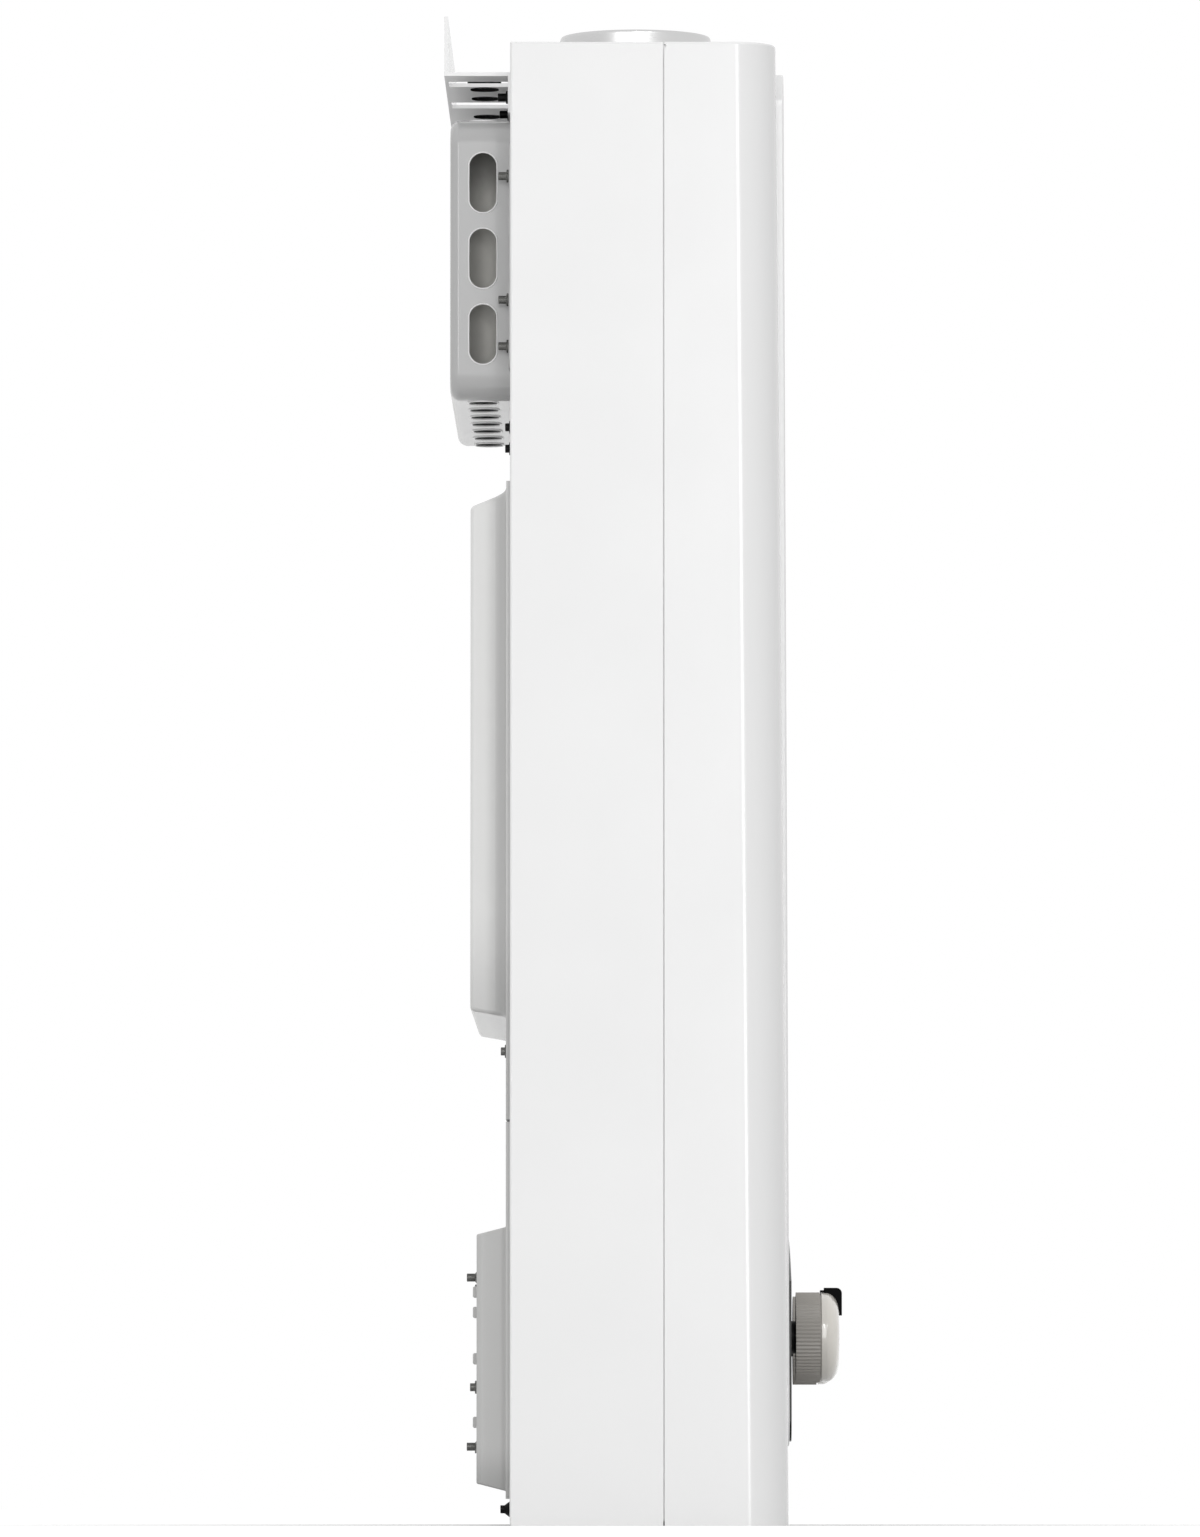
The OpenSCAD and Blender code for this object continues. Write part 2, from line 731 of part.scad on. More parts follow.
module hood_screws() {
  color(steel) in_frame() mirrored_x() for (share = hood_screw_shares)
    rear_screw(hood_w / 2 + hood_flange_w / 2, sheet_t, hood_low_z + share * hood_h, screw_r, screw_h,
      washer_r, washer_h);
}

module bracket_screws() {
  color(black) in_frame() mirrored_x() for (x = [bracket_w * 0.18, bracket_w * 0.45])
    rear_screw(x, bracket_t, shelf_z - (bracket_flange_h + bracket_t) / 2, screw_r, screw_h, washer_r, washer_h);
}

module rear_screws() {
  height = lower_top_z - lower_low_z;
  color(steel) in_frame() mirrored_x() {
    rear_screw(rear_edge_screw_x, rear_panel_t, middle_low_z - bulge_inset, screw_r, screw_h / 2,
      washer_r, washer_h / 2);
    for (share = lower_screw_shares)
      cone_screw(rear_screw_x, lower_reach, lower_low_z + share * height, screw_r, screw_h,
        washer_r, washer_h);
    rear_screw(rear_screw_x, lower_reach, lower_low_z + flat_screw_share * height, screw_r, screw_h * 0.6,
      washer_r, washer_h);
  }
}

foot_screw_z = 6.4;
case_screw_step = 4.2;

module case_screws() {
  color(dark_steel) in_frame() mirrored_x() {
    cone_screw(rear_edge_screw_x, 0, foot_screw_z, screw_r, screw_h / 2, 2 * screw_r, screw_h / 1.5);
    for (s = [-1, 1])
      rear_screw(rear_edge_screw_x, 0, (hood_low_z + middle_top_z) / 2 + s * case_screw_step,
        screw_r, screw_h / 2, washer_r, washer_h / 2);
  }
}

// Flue and fan

collar_low_z = flange_seat_z - collar_flange_t - 10 * collar_wall;
spigot_r = collar_r - collar_wall - seat_gap;

module flue_collar() {
  color(steel) in_frame() translate([0, -flue_depth, 0]) difference() {
    union() {
      translate([0, 0, collar_low_z])
        cylinder(h = case_h + collar_rise - collar_low_z, r = collar_r, $fn = 128);
      translate([0, 0, flange_seat_z - collar_flange_t])
        cylinder(h = collar_flange_t, r = collar_r + collar_flange_w, $fn = 128);
    }
    translate([0, 0, collar_low_z - overrun])
      cylinder(h = case_h, r = collar_r - collar_wall, $fn = 128);
  }
}

wheel_back = 36;
wheel_l = 32;
wheel_plate_t = 2;
scroll_rear = wheel_back - 3 * wheel_plate_t;
scroll_front = wheel_back + wheel_l + 4 * wheel_plate_t;
scroll_clear = 3.5;
scroll_growth = 7;
scroll_steps = 48;
neck_half_w = collar_r + collar_wall / 2;
neck_top_z = collar_low_z - 4 * collar_wall;
// The scroll's widest radius stays one sheet below the neck's top
scroll_max_r = wheel_r + scroll_clear + scroll_growth + shell_t;
fan_z = neck_top_z - shell_t - scroll_max_r;
neck_low_z = fan_z + motor_r + 2 * shell_t;
spigot_l = collar_low_z + 5 * collar_wall - neck_top_z + shell_t;
collector_top_z = fan_z - scroll_max_r - 3 * shell_t;
collector_lip = 6;
collector_h = 13.5;

// The scroll's outline: its radius grows by the same step all the way round
function scroll_point(i, inset) =
  let (turn = i / scroll_steps, r = wheel_r + scroll_clear + scroll_growth * turn + shell_t - inset)
  [r * cos(90 - 360 * turn), r * sin(90 - 360 * turn)];

module scroll_outline(inset) {
  translate([0, fan_z]) polygon([for (i = [0 : scroll_steps]) scroll_point(i, inset)]);
}

module collector_outline(inset) {
  low = shell_top_z;
  w = shell_half_w - inset;
  neck = wheel_r + scroll_clear;
  start = low - (inset > 0 ? overrun : 0);
  polygon([[-w, start], [w, start], [w, low + collector_lip], [neck - inset, collector_top_z - inset],
    [-neck + inset, collector_top_z - inset], [-w, low + collector_lip]]);
}

module fan_volume(inset) {
  forward(shell_rear + inset, shell_front - shell_rear - 2 * inset) collector_outline(inset);
  forward(shell_rear + inset, scroll_rear - shell_rear - (inset > 0 ? shell_t : 0)) {
    scroll_outline(inset);
    translate([0, (collector_top_z + fan_z) / 2 - inset])
      square([2 * (wheel_r + scroll_clear - inset), fan_z - collector_top_z + 4 * inset], center = true);
  }
  forward(scroll_rear + inset, scroll_front - scroll_rear - 2 * inset) scroll_outline(inset);
  block([-neck_half_w + inset, neck_half_w - inset],
    [flue_depth - neck_half_w + inset, flue_depth + neck_half_w - inset],
    [neck_low_z + inset, neck_top_z - inset]);
}

module fan_housing() {
  color(steel) in_frame() difference() {
    union() {
      difference() {
        fan_volume(0);
        fan_volume(shell_t);
      }
      bar_up(0, flue_depth, neck_top_z - shell_t, spigot_r, spigot_l);
    }
    // Inlet ring in the scroll's rear wall
    bar_forward(0, scroll_rear - overrun, fan_z, wheel_r * 0.62, 2 * overrun);
    bar_up(0, flue_depth, neck_top_z - shell_t - overrun, spigot_r - shell_t, case_h);
    bar_forward(0, scroll_front - overrun, fan_z, shaft_r * 1.6, 2 * overrun);
  }
}

fan_hub_r = 9;

module fan_blade() {
  r_in = wheel_r * 0.78;
  r_out = wheel_r - wheel_plate_t / 4;
  sweep = 14;
  t_angle = 1.6;
  points = [for (i = [0 : 4]) let (k = i / 4, r = r_in + (r_out - r_in) * k) [r, sweep * k * k]];
  function rim(p, a) = [p[0] * cos(p[1] + a), p[0] * sin(p[1] + a)];
  polygon(concat([for (p = points) rim(p, 0)], [for (i = [4 : -1 : 0]) rim(points[i], t_angle)]));
}

module fan_wheel() {
  color(steel) in_frame() translate([0, 0, fan_z]) difference() {
    union() {
      bar_forward(0, wheel_back + wheel_l - wheel_plate_t, 0, wheel_r, wheel_plate_t);
      bar_forward(0, wheel_back + wheel_l / 2, 0, fan_hub_r, wheel_l / 2);
      difference() {
        bar_forward(0, wheel_back, 0, wheel_r, wheel_plate_t);
        bar_forward(0, wheel_back - overrun, 0, wheel_r * 0.8, wheel_plate_t + 2 * overrun);
      }
      for (i = [0 : fan_blade_count - 1])
        forward(wheel_back + wheel_plate_t / 2, wheel_l - wheel_plate_t)
          rotate(i * 360 / fan_blade_count) fan_blade();
    }
    bar_forward(0, wheel_back - overrun, 0, shaft_r, wheel_l + 2 * overrun);
  }
}

motor_l = 21;

module fan_shaft() {
  start = wheel_back + wheel_l / 2;
  color(dark_steel) in_frame() bar_forward(0, start, fan_z, shaft_r, scroll_front + motor_l * 0.8 - start);
}

module fan_motor() {
  color(dark_steel) in_frame() difference() {
    union() {
      // Flange plate with three ears, and the can in front of it
      translate([0, 0, fan_z]) forward(scroll_front, 2 * sheet_t) {
        circle(motor_r);
        for (i = [0 : 2])
          rotate(60 + i * 120) translate([0, motor_r / 2 + fan_hub_r / 4])
            square([fan_hub_r, motor_r + fan_hub_r / 2], center = true);
      }
      bar_forward(0, scroll_front + sheet_t, fan_z, motor_r - 3 * sheet_t, motor_l - sheet_t);
    }
    bar_forward(0, scroll_front - overrun, fan_z, shaft_r + running_fit, motor_l * 0.8 + overrun + seat_gap);
  }
}

pressure_switch_r = 18;
pressure_switch_l = 22;

module air_pressure_switch() {
  x = -inner_half_w + pressure_switch_r * 1.6;
  z = fan_z - pressure_switch_r;
  color(grey_plastic) in_frame() {
    bar_forward(x, sheet_t, z, pressure_switch_r, pressure_switch_l);
    bar_forward(x, sheet_t + pressure_switch_l, z, pressure_switch_r / 5, pressure_switch_l / 2);
  }
}

// Heat exchanger

controller_gap = 4;
controller_w = 38;
// The coil's bends clear the shell's square corners by this
coil_gap = (bend_r - pipe_r) * (1 - cos(45)) + seat_gap / 2;
controller_right_x = -inner_half_w + controller_gap + controller_w;
shell_half_w = -controller_right_x - side_clear - 2 * pipe_r - coil_gap;
shell_front = cover_depth_top - sheet_t - seat_gap - 2 * pipe_r - coil_gap;
shell_low_z = burner_low_z + burner_h;
shell_top_z = collector_top_z - collector_h;
tube_z = shell_top_z - tube_drop;
// Four tubes spread over the shell's depth, behind them room for the coil's last two bends
tube_first = shell_rear - coil_gap - pipe_r + 2 * bend_r + shell_t;
tube_pitch = (shell_front - shell_t - 4 * seat_gap - tube_r - tube_first) / 3;
column_x = inner_half_w - 2 * bend_r;
tube_end_x = column_x - bend_r - pipe_r;
ear_w = 20;

// Feet that carry a box of the burner module on the chassis's back plate
module module_ears(z, height) {
  for (s = [-1, 1]) {
    x = s * (shell_half_w - ear_w);
    block([x - ear_w / 2, x + ear_w / 2], [sheet_t, sheet_t + shell_t], [z, z + height]);
    block([x - shell_t / 2, x + shell_t / 2], [sheet_t, shell_rear], [z, z + height]);
  }
}

module exchanger_shell() {
  color(copper) in_frame() {
    difference() {
      block([-shell_half_w, shell_half_w], [shell_rear, shell_front], [shell_low_z, shell_top_z]);
      block([-shell_half_w + shell_t, shell_half_w - shell_t], [shell_rear + shell_t, shell_front - shell_t],
        [shell_low_z - overrun, shell_top_z + overrun]);
      for (i = [0 : 3])
        bar_across(-case_w / 2, tube_first + i * tube_pitch, tube_z, tube_r + running_fit, case_w);
      for (x = concat(spark_x, [sensor_x]))
        bar_forward(x, shell_front - shell_t - overrun, electrode_z, electrode_r + running_fit,
          shell_t + 2 * overrun);
    }
    module_ears(coil_low_z + 2 * coil_pitch + pipe_r + seat_gap, ear_w);
  }
}

module exchanger_fins() {
  reach = shell_half_w - shell_t - ear_w / 2;
  color(copper) in_frame() difference() {
    for (i = [0 : fin_count - 1]) {
      x = -reach + i * 2 * reach / (fin_count - 1);
      block([x - fin_t / 2, x + fin_t / 2],
        [shell_rear + shell_t + seat_gap, shell_front - shell_t - seat_gap],
        [tube_z - fin_h / 2, tube_z + fin_h / 2]);
    }
    for (i = [0 : 3])
      bar_across(-case_w / 2, tube_first + i * tube_pitch, tube_z, tube_r + running_fit, case_w);
  }
}

module exchanger_tubes() {
  turn = tube_pitch / 2;
  x = shell_half_w + 6 * shell_t + turn;
  function at(side, i) = [side, -(tube_first + i * tube_pitch), tube_z];
  color(copper) in_frame()
    pipe([at(tube_end_x, 0), at(-x, 0), at(-x, 1), at(x, 1), at(x, 2), at(-x, 2), at(-x, 3),
      at(tube_end_x, 3)], tube_r, turn);
}

coil_half_w = shell_half_w + coil_gap + pipe_r;
coil_rear = shell_rear - coil_gap - pipe_r;
coil_front = shell_front + coil_gap + pipe_r;
coil_low_z = shell_low_z + coil_rise;
coil_pitch = (tube_z - 2 * bend_r - shell_t - coil_low_z) / 2;
supply_x = column_x - pipe_r;
coil_start_x = supply_x - bend_r - 1.2 * pipe_r;

module water_coil() {
  z1 = coil_low_z;
  z2 = coil_low_z + coil_pitch;
  z3 = coil_low_z + 2 * coil_pitch;
  rise1 = shell_front - 3.4 * pipe_r;
  rise2 = rise1 - 4.6 * pipe_r;
  w = coil_half_w;
  color(copper) in_frame() pipe([
    [coil_start_x, -coil_front, z1], [-w, -coil_front, z1], [-w, -coil_rear, z1], [w, -coil_rear, z1],
    [w, -rise1, z1], [w, -rise1, z2], [w, -coil_front, z2], [-w, -coil_front, z2], [-w, -coil_rear, z2],
    [w, -coil_rear, z2], [w, -rise2, z2], [w, -rise2, z3], [w, -coil_front, z3], [-w, -coil_front, z3],
    [-w, -coil_rear, z3], [column_x, -coil_rear, z3], [column_x, -coil_rear, tube_z],
    [column_x, -tube_first, tube_z], [tube_end_x, -tube_first, tube_z]], pipe_r, bend_r);
}

// Burner

module burner_box() {
  middle = (shell_rear + shell_front) / 2;
  color(steel) in_frame() {
    difference() {
      block([-shell_half_w, shell_half_w], [shell_rear, shell_front], [burner_low_z, shell_low_z]);
      block([-shell_half_w + shell_t, shell_half_w - shell_t], [shell_rear + shell_t, shell_front - shell_t],
        [burner_low_z + shell_t, shell_low_z + overrun]);
      for (i = [0 : blade_count - 1])
        bar_forward(blade_x(i), shell_front - shell_t - overrun, injector_z, injector_r + seat_gap,
          shell_t + 2 * overrun);
      // Air slots in the underside
      for (i = [-3 : 3])
        block([-shell_half_w + ear_w, shell_half_w - ear_w],
          [middle + (9 * i - 2) * shell_t, middle + (9 * i + 2) * shell_t],
          [burner_low_z - overrun, burner_low_z + shell_t + overrun]);
    }
    module_ears(burner_low_z, middle_low_z - burner_low_z);
  }
}

blade_pitch = 2 * (shell_half_w - shell_t - blade_margin) / blade_count;
function blade_x(i) = (i - (blade_count - 1) / 2) * blade_pitch;
rail_top_z = burner_low_z + rail_rise;
rail_h = 8;
rail_w = 4;
blade_rear = shell_rear + rail_w;
blade_front = shell_front - 2.5 * rail_w;

module burner_rack() {
  w = shell_half_w - shell_t;
  color(steel) in_frame() for (depth = [blade_rear + rail_w / 2, blade_front - 2 * rail_w])
    block([-w, w], [depth, depth + rail_w], [rail_top_z - rail_h, rail_top_z]);
}

module burner_blades() {
  slot_pitch = (blade_front - blade_rear) / 10;
  color(steel) in_frame() difference() {
    for (i = [0 : blade_count - 1]) {
      x = blade_x(i);
      translate([x, 0, rail_top_z]) forward(blade_rear, blade_front - blade_rear) polygon([
        [-blade_t / 2, 0], [blade_t / 2, 0], [blade_t / 2, blade_h * 0.35], [blade_t / 3, blade_h * 0.5],
        [blade_t / 2, blade_h * 0.65], [blade_t / 2, blade_h], [-blade_t / 2, blade_h],
        [-blade_t / 2, blade_h * 0.65], [-blade_t / 3, blade_h * 0.5], [-blade_t / 2, blade_h * 0.35]]);
    }
    // Flame slots across every blade
    for (i = [1 : 9])
      block([-case_w / 2, case_w / 2], [blade_rear + i * slot_pitch, blade_rear + i * slot_pitch + shell_t],
        [rail_top_z + blade_h - 4 * shell_t, rail_top_z + blade_h + overrun]);
    // Mixing mouths
    for (i = [0 : blade_count - 1])
      bar_forward(blade_x(i), blade_front - 20 * shell_t, injector_z, blade_t * 0.3, past_front);
  }
}

manifold_rear = shell_front + 2 * shell_t;
manifold_t = 10;
manifold_half_w = blade_x(blade_count - 1) + 0.6 * manifold_t;
injector_z = rail_top_z + 0.6 * manifold_t;
injector_r = 2.2;
injector_rear = blade_front + rail_w / 2;

module gas_manifold() {
  color(steel) in_frame()
    block([-manifold_half_w, manifold_half_w], [manifold_rear, manifold_rear + manifold_t],
      [injector_z - manifold_t * 0.6, injector_z + manifold_t * 0.6]);
}

module gas_injectors() {
  length = manifold_rear - injector_rear;
  color(brass) in_frame() for (i = [0 : blade_count - 1]) difference() {
    bar_forward(blade_x(i), injector_rear, injector_z, injector_r, length, $fn = small_fn);
    bar_forward(blade_x(i), injector_rear - overrun, injector_z, injector_r / 3, 2 * overrun, $fn = small_fn);
  }
}

electrode_r = 3;
electrode_l = 20;
electrode_tip_l = 12;
electrode_z = (shell_low_z + coil_low_z - pipe_r) / 2;
spark_shares = [-0.2, -0.09];
sensor_share = 0.37;
spark_x = [for (share = spark_shares) share * shell_half_w];
sensor_x = sensor_share * shell_half_w;

// A ceramic stem through the shell's front wall, with a wire that turns down to the flames
module electrode(x) {
  back = shell_front - electrode_tip_l;
  wire_r = electrode_r / 3;
  bar_forward(x, back, electrode_z, electrode_r, electrode_l);
  bar_forward(x, back - electrode_l, electrode_z, wire_r, electrode_l);
  bar_up(x, back - electrode_l, electrode_z - electrode_tip_l, wire_r, electrode_tip_l + wire_r);
}

module electrode_plate(low_x, high_x) {
  block([low_x - 2 * electrode_r, high_x + 2 * electrode_r], [shell_front, shell_front + shell_t],
    [electrode_z - 2 * electrode_r, electrode_z + 2 * electrode_r]);
}

module ignition_electrodes() {
  color("#e8e4da") in_frame() {
    electrode_plate(spark_x[0], spark_x[1]);
    for (x = spark_x) electrode(x);
  }
}

module flame_sensor() {
  color("#e8e4da") in_frame() {
    electrode_plate(sensor_x, sensor_x);
    electrode(sensor_x);
  }
}

thermostat_r = 8;
thermostat_l = 4;
thermostat_share = 0.56;

module overheat_thermostat() {
  x = thermostat_share * shell_half_w;
  color(dark_steel) in_frame() {
    bar_forward(x, shell_front, tube_z, thermostat_r, thermostat_l);
    block([x - 1.6 * thermostat_r, x + 1.6 * thermostat_r], [shell_front, shell_front + shell_t],
      [tube_z - thermostat_r / 2, tube_z + thermostat_r / 2]);
  }
}

// Gas side

valve_low_z = 52;
gas_valve_half_w = 24;
gas_valve_top_z = 104;
gas_valve_rear = 32;
gas_valve_front = 72;
gland_l = 8;
boss_r = 9;
rod_depth = 52;
rod_z = 80;
rod_r = 3;
rod_travel = 3.5;
socket_l = 18;

// Blind bore that takes a knob's spindle, from the gland's mouth back into the body
module spindle_bore(x, mouth) {
  bar_forward(x, mouth - socket_l, knob_z, spindle_r + running_fit, socket_l + overrun);
}

module gas_valve_body() {
  color(brass) in_frame() difference() {
    union() {
      block([gas_x - gas_valve_half_w, gas_x + gas_valve_half_w], [gas_valve_rear, gas_valve_front],
        [valve_low_z, gas_valve_top_z]);
      bar_forward(gas_x, gas_valve_front, knob_z, boss_r, gland_l);
      bar_up(gas_x, rod_depth, gas_valve_top_z, boss_r, gland_l);
    }
    spindle_bore(gas_x, gas_valve_front + gland_l);
    bar_across(gas_x + gas_valve_half_w - socket_l, rod_depth, rod_z, rod_r + running_fit,
      socket_l + overrun);
  }
}

coil_r = 15;
coil_l = 32;

module solenoid_coil() {
  x = gas_x - gas_valve_half_w;
  color(dark_steel) in_frame() {
    bar_across(x - coil_l, rod_depth, rod_z, coil_r, coil_l);
    bar_across(x - coil_l - 3 * sheet_t, rod_depth, rod_z, coil_r / 2, 3 * sheet_t);
  }
}

// A threaded pipe fitting through the bottom plate, with a nut on the plate and a locknut under it
module pipe_fitting(x, top_z) {
  difference() {
    union() {
      bar_up(x, fitting_depth, fitting_low_z, fitting_r, top_z - fitting_low_z);
      translate([x, -fitting_depth, floor_top_z]) cylinder(h = nut_h, r = nut_w / 2, $fn = 6);
      translate([x, -fitting_depth, floor_z - seat_gap - locknut_h])
        cylinder(h = locknut_h, r = locknut_w / 2, $fn = 6);
    }
    bar_up(x, fitting_depth, fitting_low_z - overrun, fitting_bore_r, top_z - fitting_low_z - overrun);
  }
}

module gas_inlet_fitting() {
  color(brass) in_frame() pipe_fitting(gas_x, valve_low_z);
}

module gas_pipe() {
  depth = manifold_rear + manifold_t / 2;
  low = gas_valve_top_z + gland_l;
  turn = low + 5 * pipe_r;
  color(steel) in_frame() pipe([
    [gas_x, -rod_depth, low], [gas_x, -rod_depth, turn], [gas_x, -depth, turn],
    [gas_x, -depth, injector_z - manifold_t * 0.6]], pipe_r, bend_r);
}

// Water side

water_flange_offset = 20;
water_flange_x = water_x - water_flange_offset;
water_flange_t = 6;
water_flange_r = 27;
water_top_z = 108;
water_right_x = water_x + 2 * cold_offset;
diaphragm_t = 1.2;
cover_t = 6.8;
cover_boss_l = 6;
cover_boss_r = 8;

module water_valve_body() {
  color(brass) in_frame() difference() {
    union() {
      block([water_flange_x + water_flange_t, water_right_x],
        [gas_valve_rear - 2 * sheet_t, gas_valve_front + 2 * sheet_t], [valve_low_z, water_top_z]);
      bar_across(water_flange_x, rod_depth, rod_z, water_flange_r, water_flange_t);
      bar_forward(water_x, gas_valve_front + 2 * sheet_t, knob_z, boss_r, gland_l);
    }
    spindle_bore(water_x, gas_valve_front + 2 * sheet_t + gland_l);
  }
}

module diaphragm() {
  color(black) in_frame()
    bar_across(water_flange_x - diaphragm_t, rod_depth, rod_z, water_flange_r, diaphragm_t);
}

cover_x = water_flange_x - diaphragm_t - cover_t;

module diaphragm_cover() {
  color(brass) in_frame() difference() {
    union() {
      bar_across(cover_x, rod_depth, rod_z, water_flange_r, cover_t);
      bar_across(cover_x - cover_boss_l, rod_depth, rod_z, cover_boss_r, cover_boss_l);
    }
    bar_across(cover_x - cover_boss_l - overrun, rod_depth, rod_z, rod_r + running_fit,
      cover_boss_l + cover_t + 2 * overrun);
  }
}

module cold_inlet_fitting() {
  color(brass) in_frame() pipe_fitting(cold_x, valve_low_z);
}

module inlet_filter() {
  length = valve_low_z - 2 * overrun - floor_top_z;
  color(steel) in_frame() difference() {
    bar_up(cold_x, fitting_depth, floor_top_z, fitting_bore_r - seat_gap, length);
    bar_up(cold_x, fitting_depth, floor_top_z - overrun, fitting_bore_r - 5 * seat_gap, length);
  }
}

module cold_pipe() {
  z = water_top_z + 6 * pipe_r;
  color(copper) in_frame() pipe([
    [cold_x, -rod_depth, water_top_z], [cold_x, -rod_depth, z], [cold_x, -coil_front, z],
    [supply_x, -coil_front, z], [supply_x, -coil_front, coil_low_z], [coil_start_x, -coil_front, coil_low_z]],
    pipe_r, bend_r);
}

hot_top_z = 56;

module hot_outlet_fitting() {
  color(brass) in_frame() pipe_fitting(hot_x, hot_top_z);
}

module hot_pipe() {
  depth = tube_first + 3 * tube_pitch;
  z = hot_top_z + 3 * pipe_r;
  color(copper) in_frame() pipe([
    [tube_end_x, -depth, tube_z], [column_x, -depth, tube_z], [column_x, -depth, z],
    [hot_x, -depth, z], [hot_x, -fitting_depth, z], [hot_x, -fitting_depth, hot_top_z]], pipe_r, bend_r);
}

drain_low_z = 14;

module drain_plug() {
  color(brass) in_frame() {
    bar_up(drain_x, fitting_depth, drain_low_z, drain_r, valve_low_z - drain_low_z);
    block([drain_x - drain_r * 1.4, drain_x + drain_r * 1.4],
      [fitting_depth - drain_r / 3, fitting_depth + drain_r / 3], [drain_low_z - drain_r, drain_low_z]);
  }
}

// Controls inside the case

controller_low_z = 188;
controller_h = 115;
controller_d = 50;
rib_count = 4;
rib_share = 0.45;

module controller_box() {
  x = -inner_half_w + controller_gap;
  pitch = controller_h / (rib_count + 1);
  color(grey_plastic) in_frame() {
    block([x, x + controller_w], [sheet_t, controller_d],
      [controller_low_z, controller_low_z + controller_h]);
    for (i = [1 : rib_count])
      block([x + 2 * sheet_t, x + controller_w - 2 * sheet_t], [controller_d, controller_d + sheet_t],
        [controller_low_z + (i - rib_share / 2) * pitch, controller_low_z + (i + rib_share / 2) * pitch]);
  }
}

transformer_low_z = 134;
transformer_h = 35;
transformer_d = 28;
terminal_r = 3;
terminal_h = 8;

module ignition_transformer() {
  x = -inner_half_w + controller_gap;
  top = transformer_low_z + transformer_h;
  color(dark_steel) in_frame() {
    block([x, x + controller_w], [sheet_t, transformer_d], [transformer_low_z, top]);
    for (s = [-1, 1])
      bar_up(x + controller_w / 2 + s * 2.5 * terminal_r, transformer_d / 2, top, terminal_r, terminal_h);
  }
}

switch_h = 9.1;
switch_l = 18;
switch_half_d = 6;
switch_plate_t = 1.2;
switch_ear_t = 1.4;
lever_t = 1;
lever_half_d = 2;
lever_clear = 4;
pivot_rise = 23;
pivot_r = 1.2;
barrel_r = 1.9;
pivot_z = rod_z + pivot_rise;
lever_low_z = rod_z + lever_clear;
lever_x = gas_x + gas_valve_half_w + switch_plate_t + switch_l - 2 * lever_t;
switch_low_z = pivot_z + barrel_r + seat_gap;

module microswitch() {
  x = gas_x + gas_valve_half_w;
  depths = [rod_depth - switch_half_d, rod_depth + switch_half_d];
  ear = switch_ear_t;
  color(black) in_frame() difference() {
    union() {
      block([x, x + switch_plate_t], depths, [switch_low_z - 1.2 * switch_h, switch_low_z + switch_h]);
      block([x, x + switch_plate_t + switch_l], depths, [switch_low_z, switch_low_z + switch_h]);
      for (s = [-1, 1])
        translate([0, -s * (lever_half_d + seat_gap + ear / 2), 0])
          block([lever_x - barrel_r, lever_x + barrel_r], [rod_depth - ear / 2, rod_depth + ear / 2],
            [pivot_z - barrel_r, switch_low_z]);
    }
    bar_forward(lever_x, rod_depth - switch_half_d - overrun, pivot_z, pivot_r + running_fit,
      2 * switch_half_d + 2 * overrun);
  }
}

module microswitch_lever() {
  reach = lever_half_d + seat_gap + switch_ear_t;
  color(steel) in_frame() {
    bar_forward(lever_x, rod_depth - reach, pivot_z, pivot_r, 2 * reach);
    bar_forward(lever_x, rod_depth - lever_half_d, pivot_z, barrel_r, 2 * lever_half_d);
    block([lever_x - lever_t / 2, lever_x + lever_t / 2],
      [rod_depth - lever_half_d, rod_depth + lever_half_d], [lever_low_z, pivot_z]);
  }
}

rod_left_x = gas_x + gas_valve_half_w - socket_l + 2 * rod_travel;
collar_disc_r = 6;
collar_disc_t = 2;

module push_rod() {
  right = water_flange_x - diaphragm_t - seat_gap;
  color(steel) in_frame() {
    bar_across(rod_left_x, rod_depth, rod_z, rod_r, right - rod_left_x);
    bar_across(lever_x + lever_t / 2 + seat_gap, rod_depth, rod_z, collar_disc_r, collar_disc_t);
  }
}

gland_h = 8;

module cable_gland() {
  color(black) in_frame() difference() {
    union() {
      bar_up(gland_x, fitting_depth, floor_z - gland_h, gland_r, gland_h + floor_t + gland_h / 2);
      translate([gland_x, -fitting_depth, floor_top_z]) cylinder(h = gland_h / 2, r = gland_r * 1.5, $fn = 6);
    }
    bar_up(gland_x, fitting_depth, floor_z - gland_h - overrun, gland_bore_r,
      2 * gland_h + floor_t + 2 * overrun);
  }
}

// Knobs

grip_front = knob_back_depth + grip_l;
cap_back = grip_front + groove_w;
cap_r = grip_r - 0.3 * flute_depth;
cap_steps = 8;

// Fluted outline: shallow round valleys between narrow lands
module grip_outline() {
  polygon([for (i = [0 : 2 * flute_count - 1])
    let (r = grip_r - (i % 2 == 0 ? 0 : flute_depth), a = i * 180 / flute_count) [r * cos(a), r * sin(a)]]);
}

module knob_grip(x) {
  translate([x, 0, knob_z]) {
    forward(knob_back_depth, grip_l) grip_outline();
    bar_forward(0, grip_front, 0, grip_r - 2 * flute_depth, groove_w);
  }
}

// Half of the cap's section: straight, then an elliptic edge to the flat face
cap_section = concat(
  [[0, 0], [cap_r, 0]],
  [for (i = [0 : cap_steps]) let (a = 90 * i / cap_steps)
    [cap_r - cap_round_w * (1 - cos(a)), cap_l - cap_round_l * (1 - sin(a))]],
  [[0, cap_l]]);

module knob_cap_form(x) {
  translate([x, -cap_back, knob_z]) rotate([90, 0, 0]) rotate_extrude($fn = 128) polygon(cap_section);
}

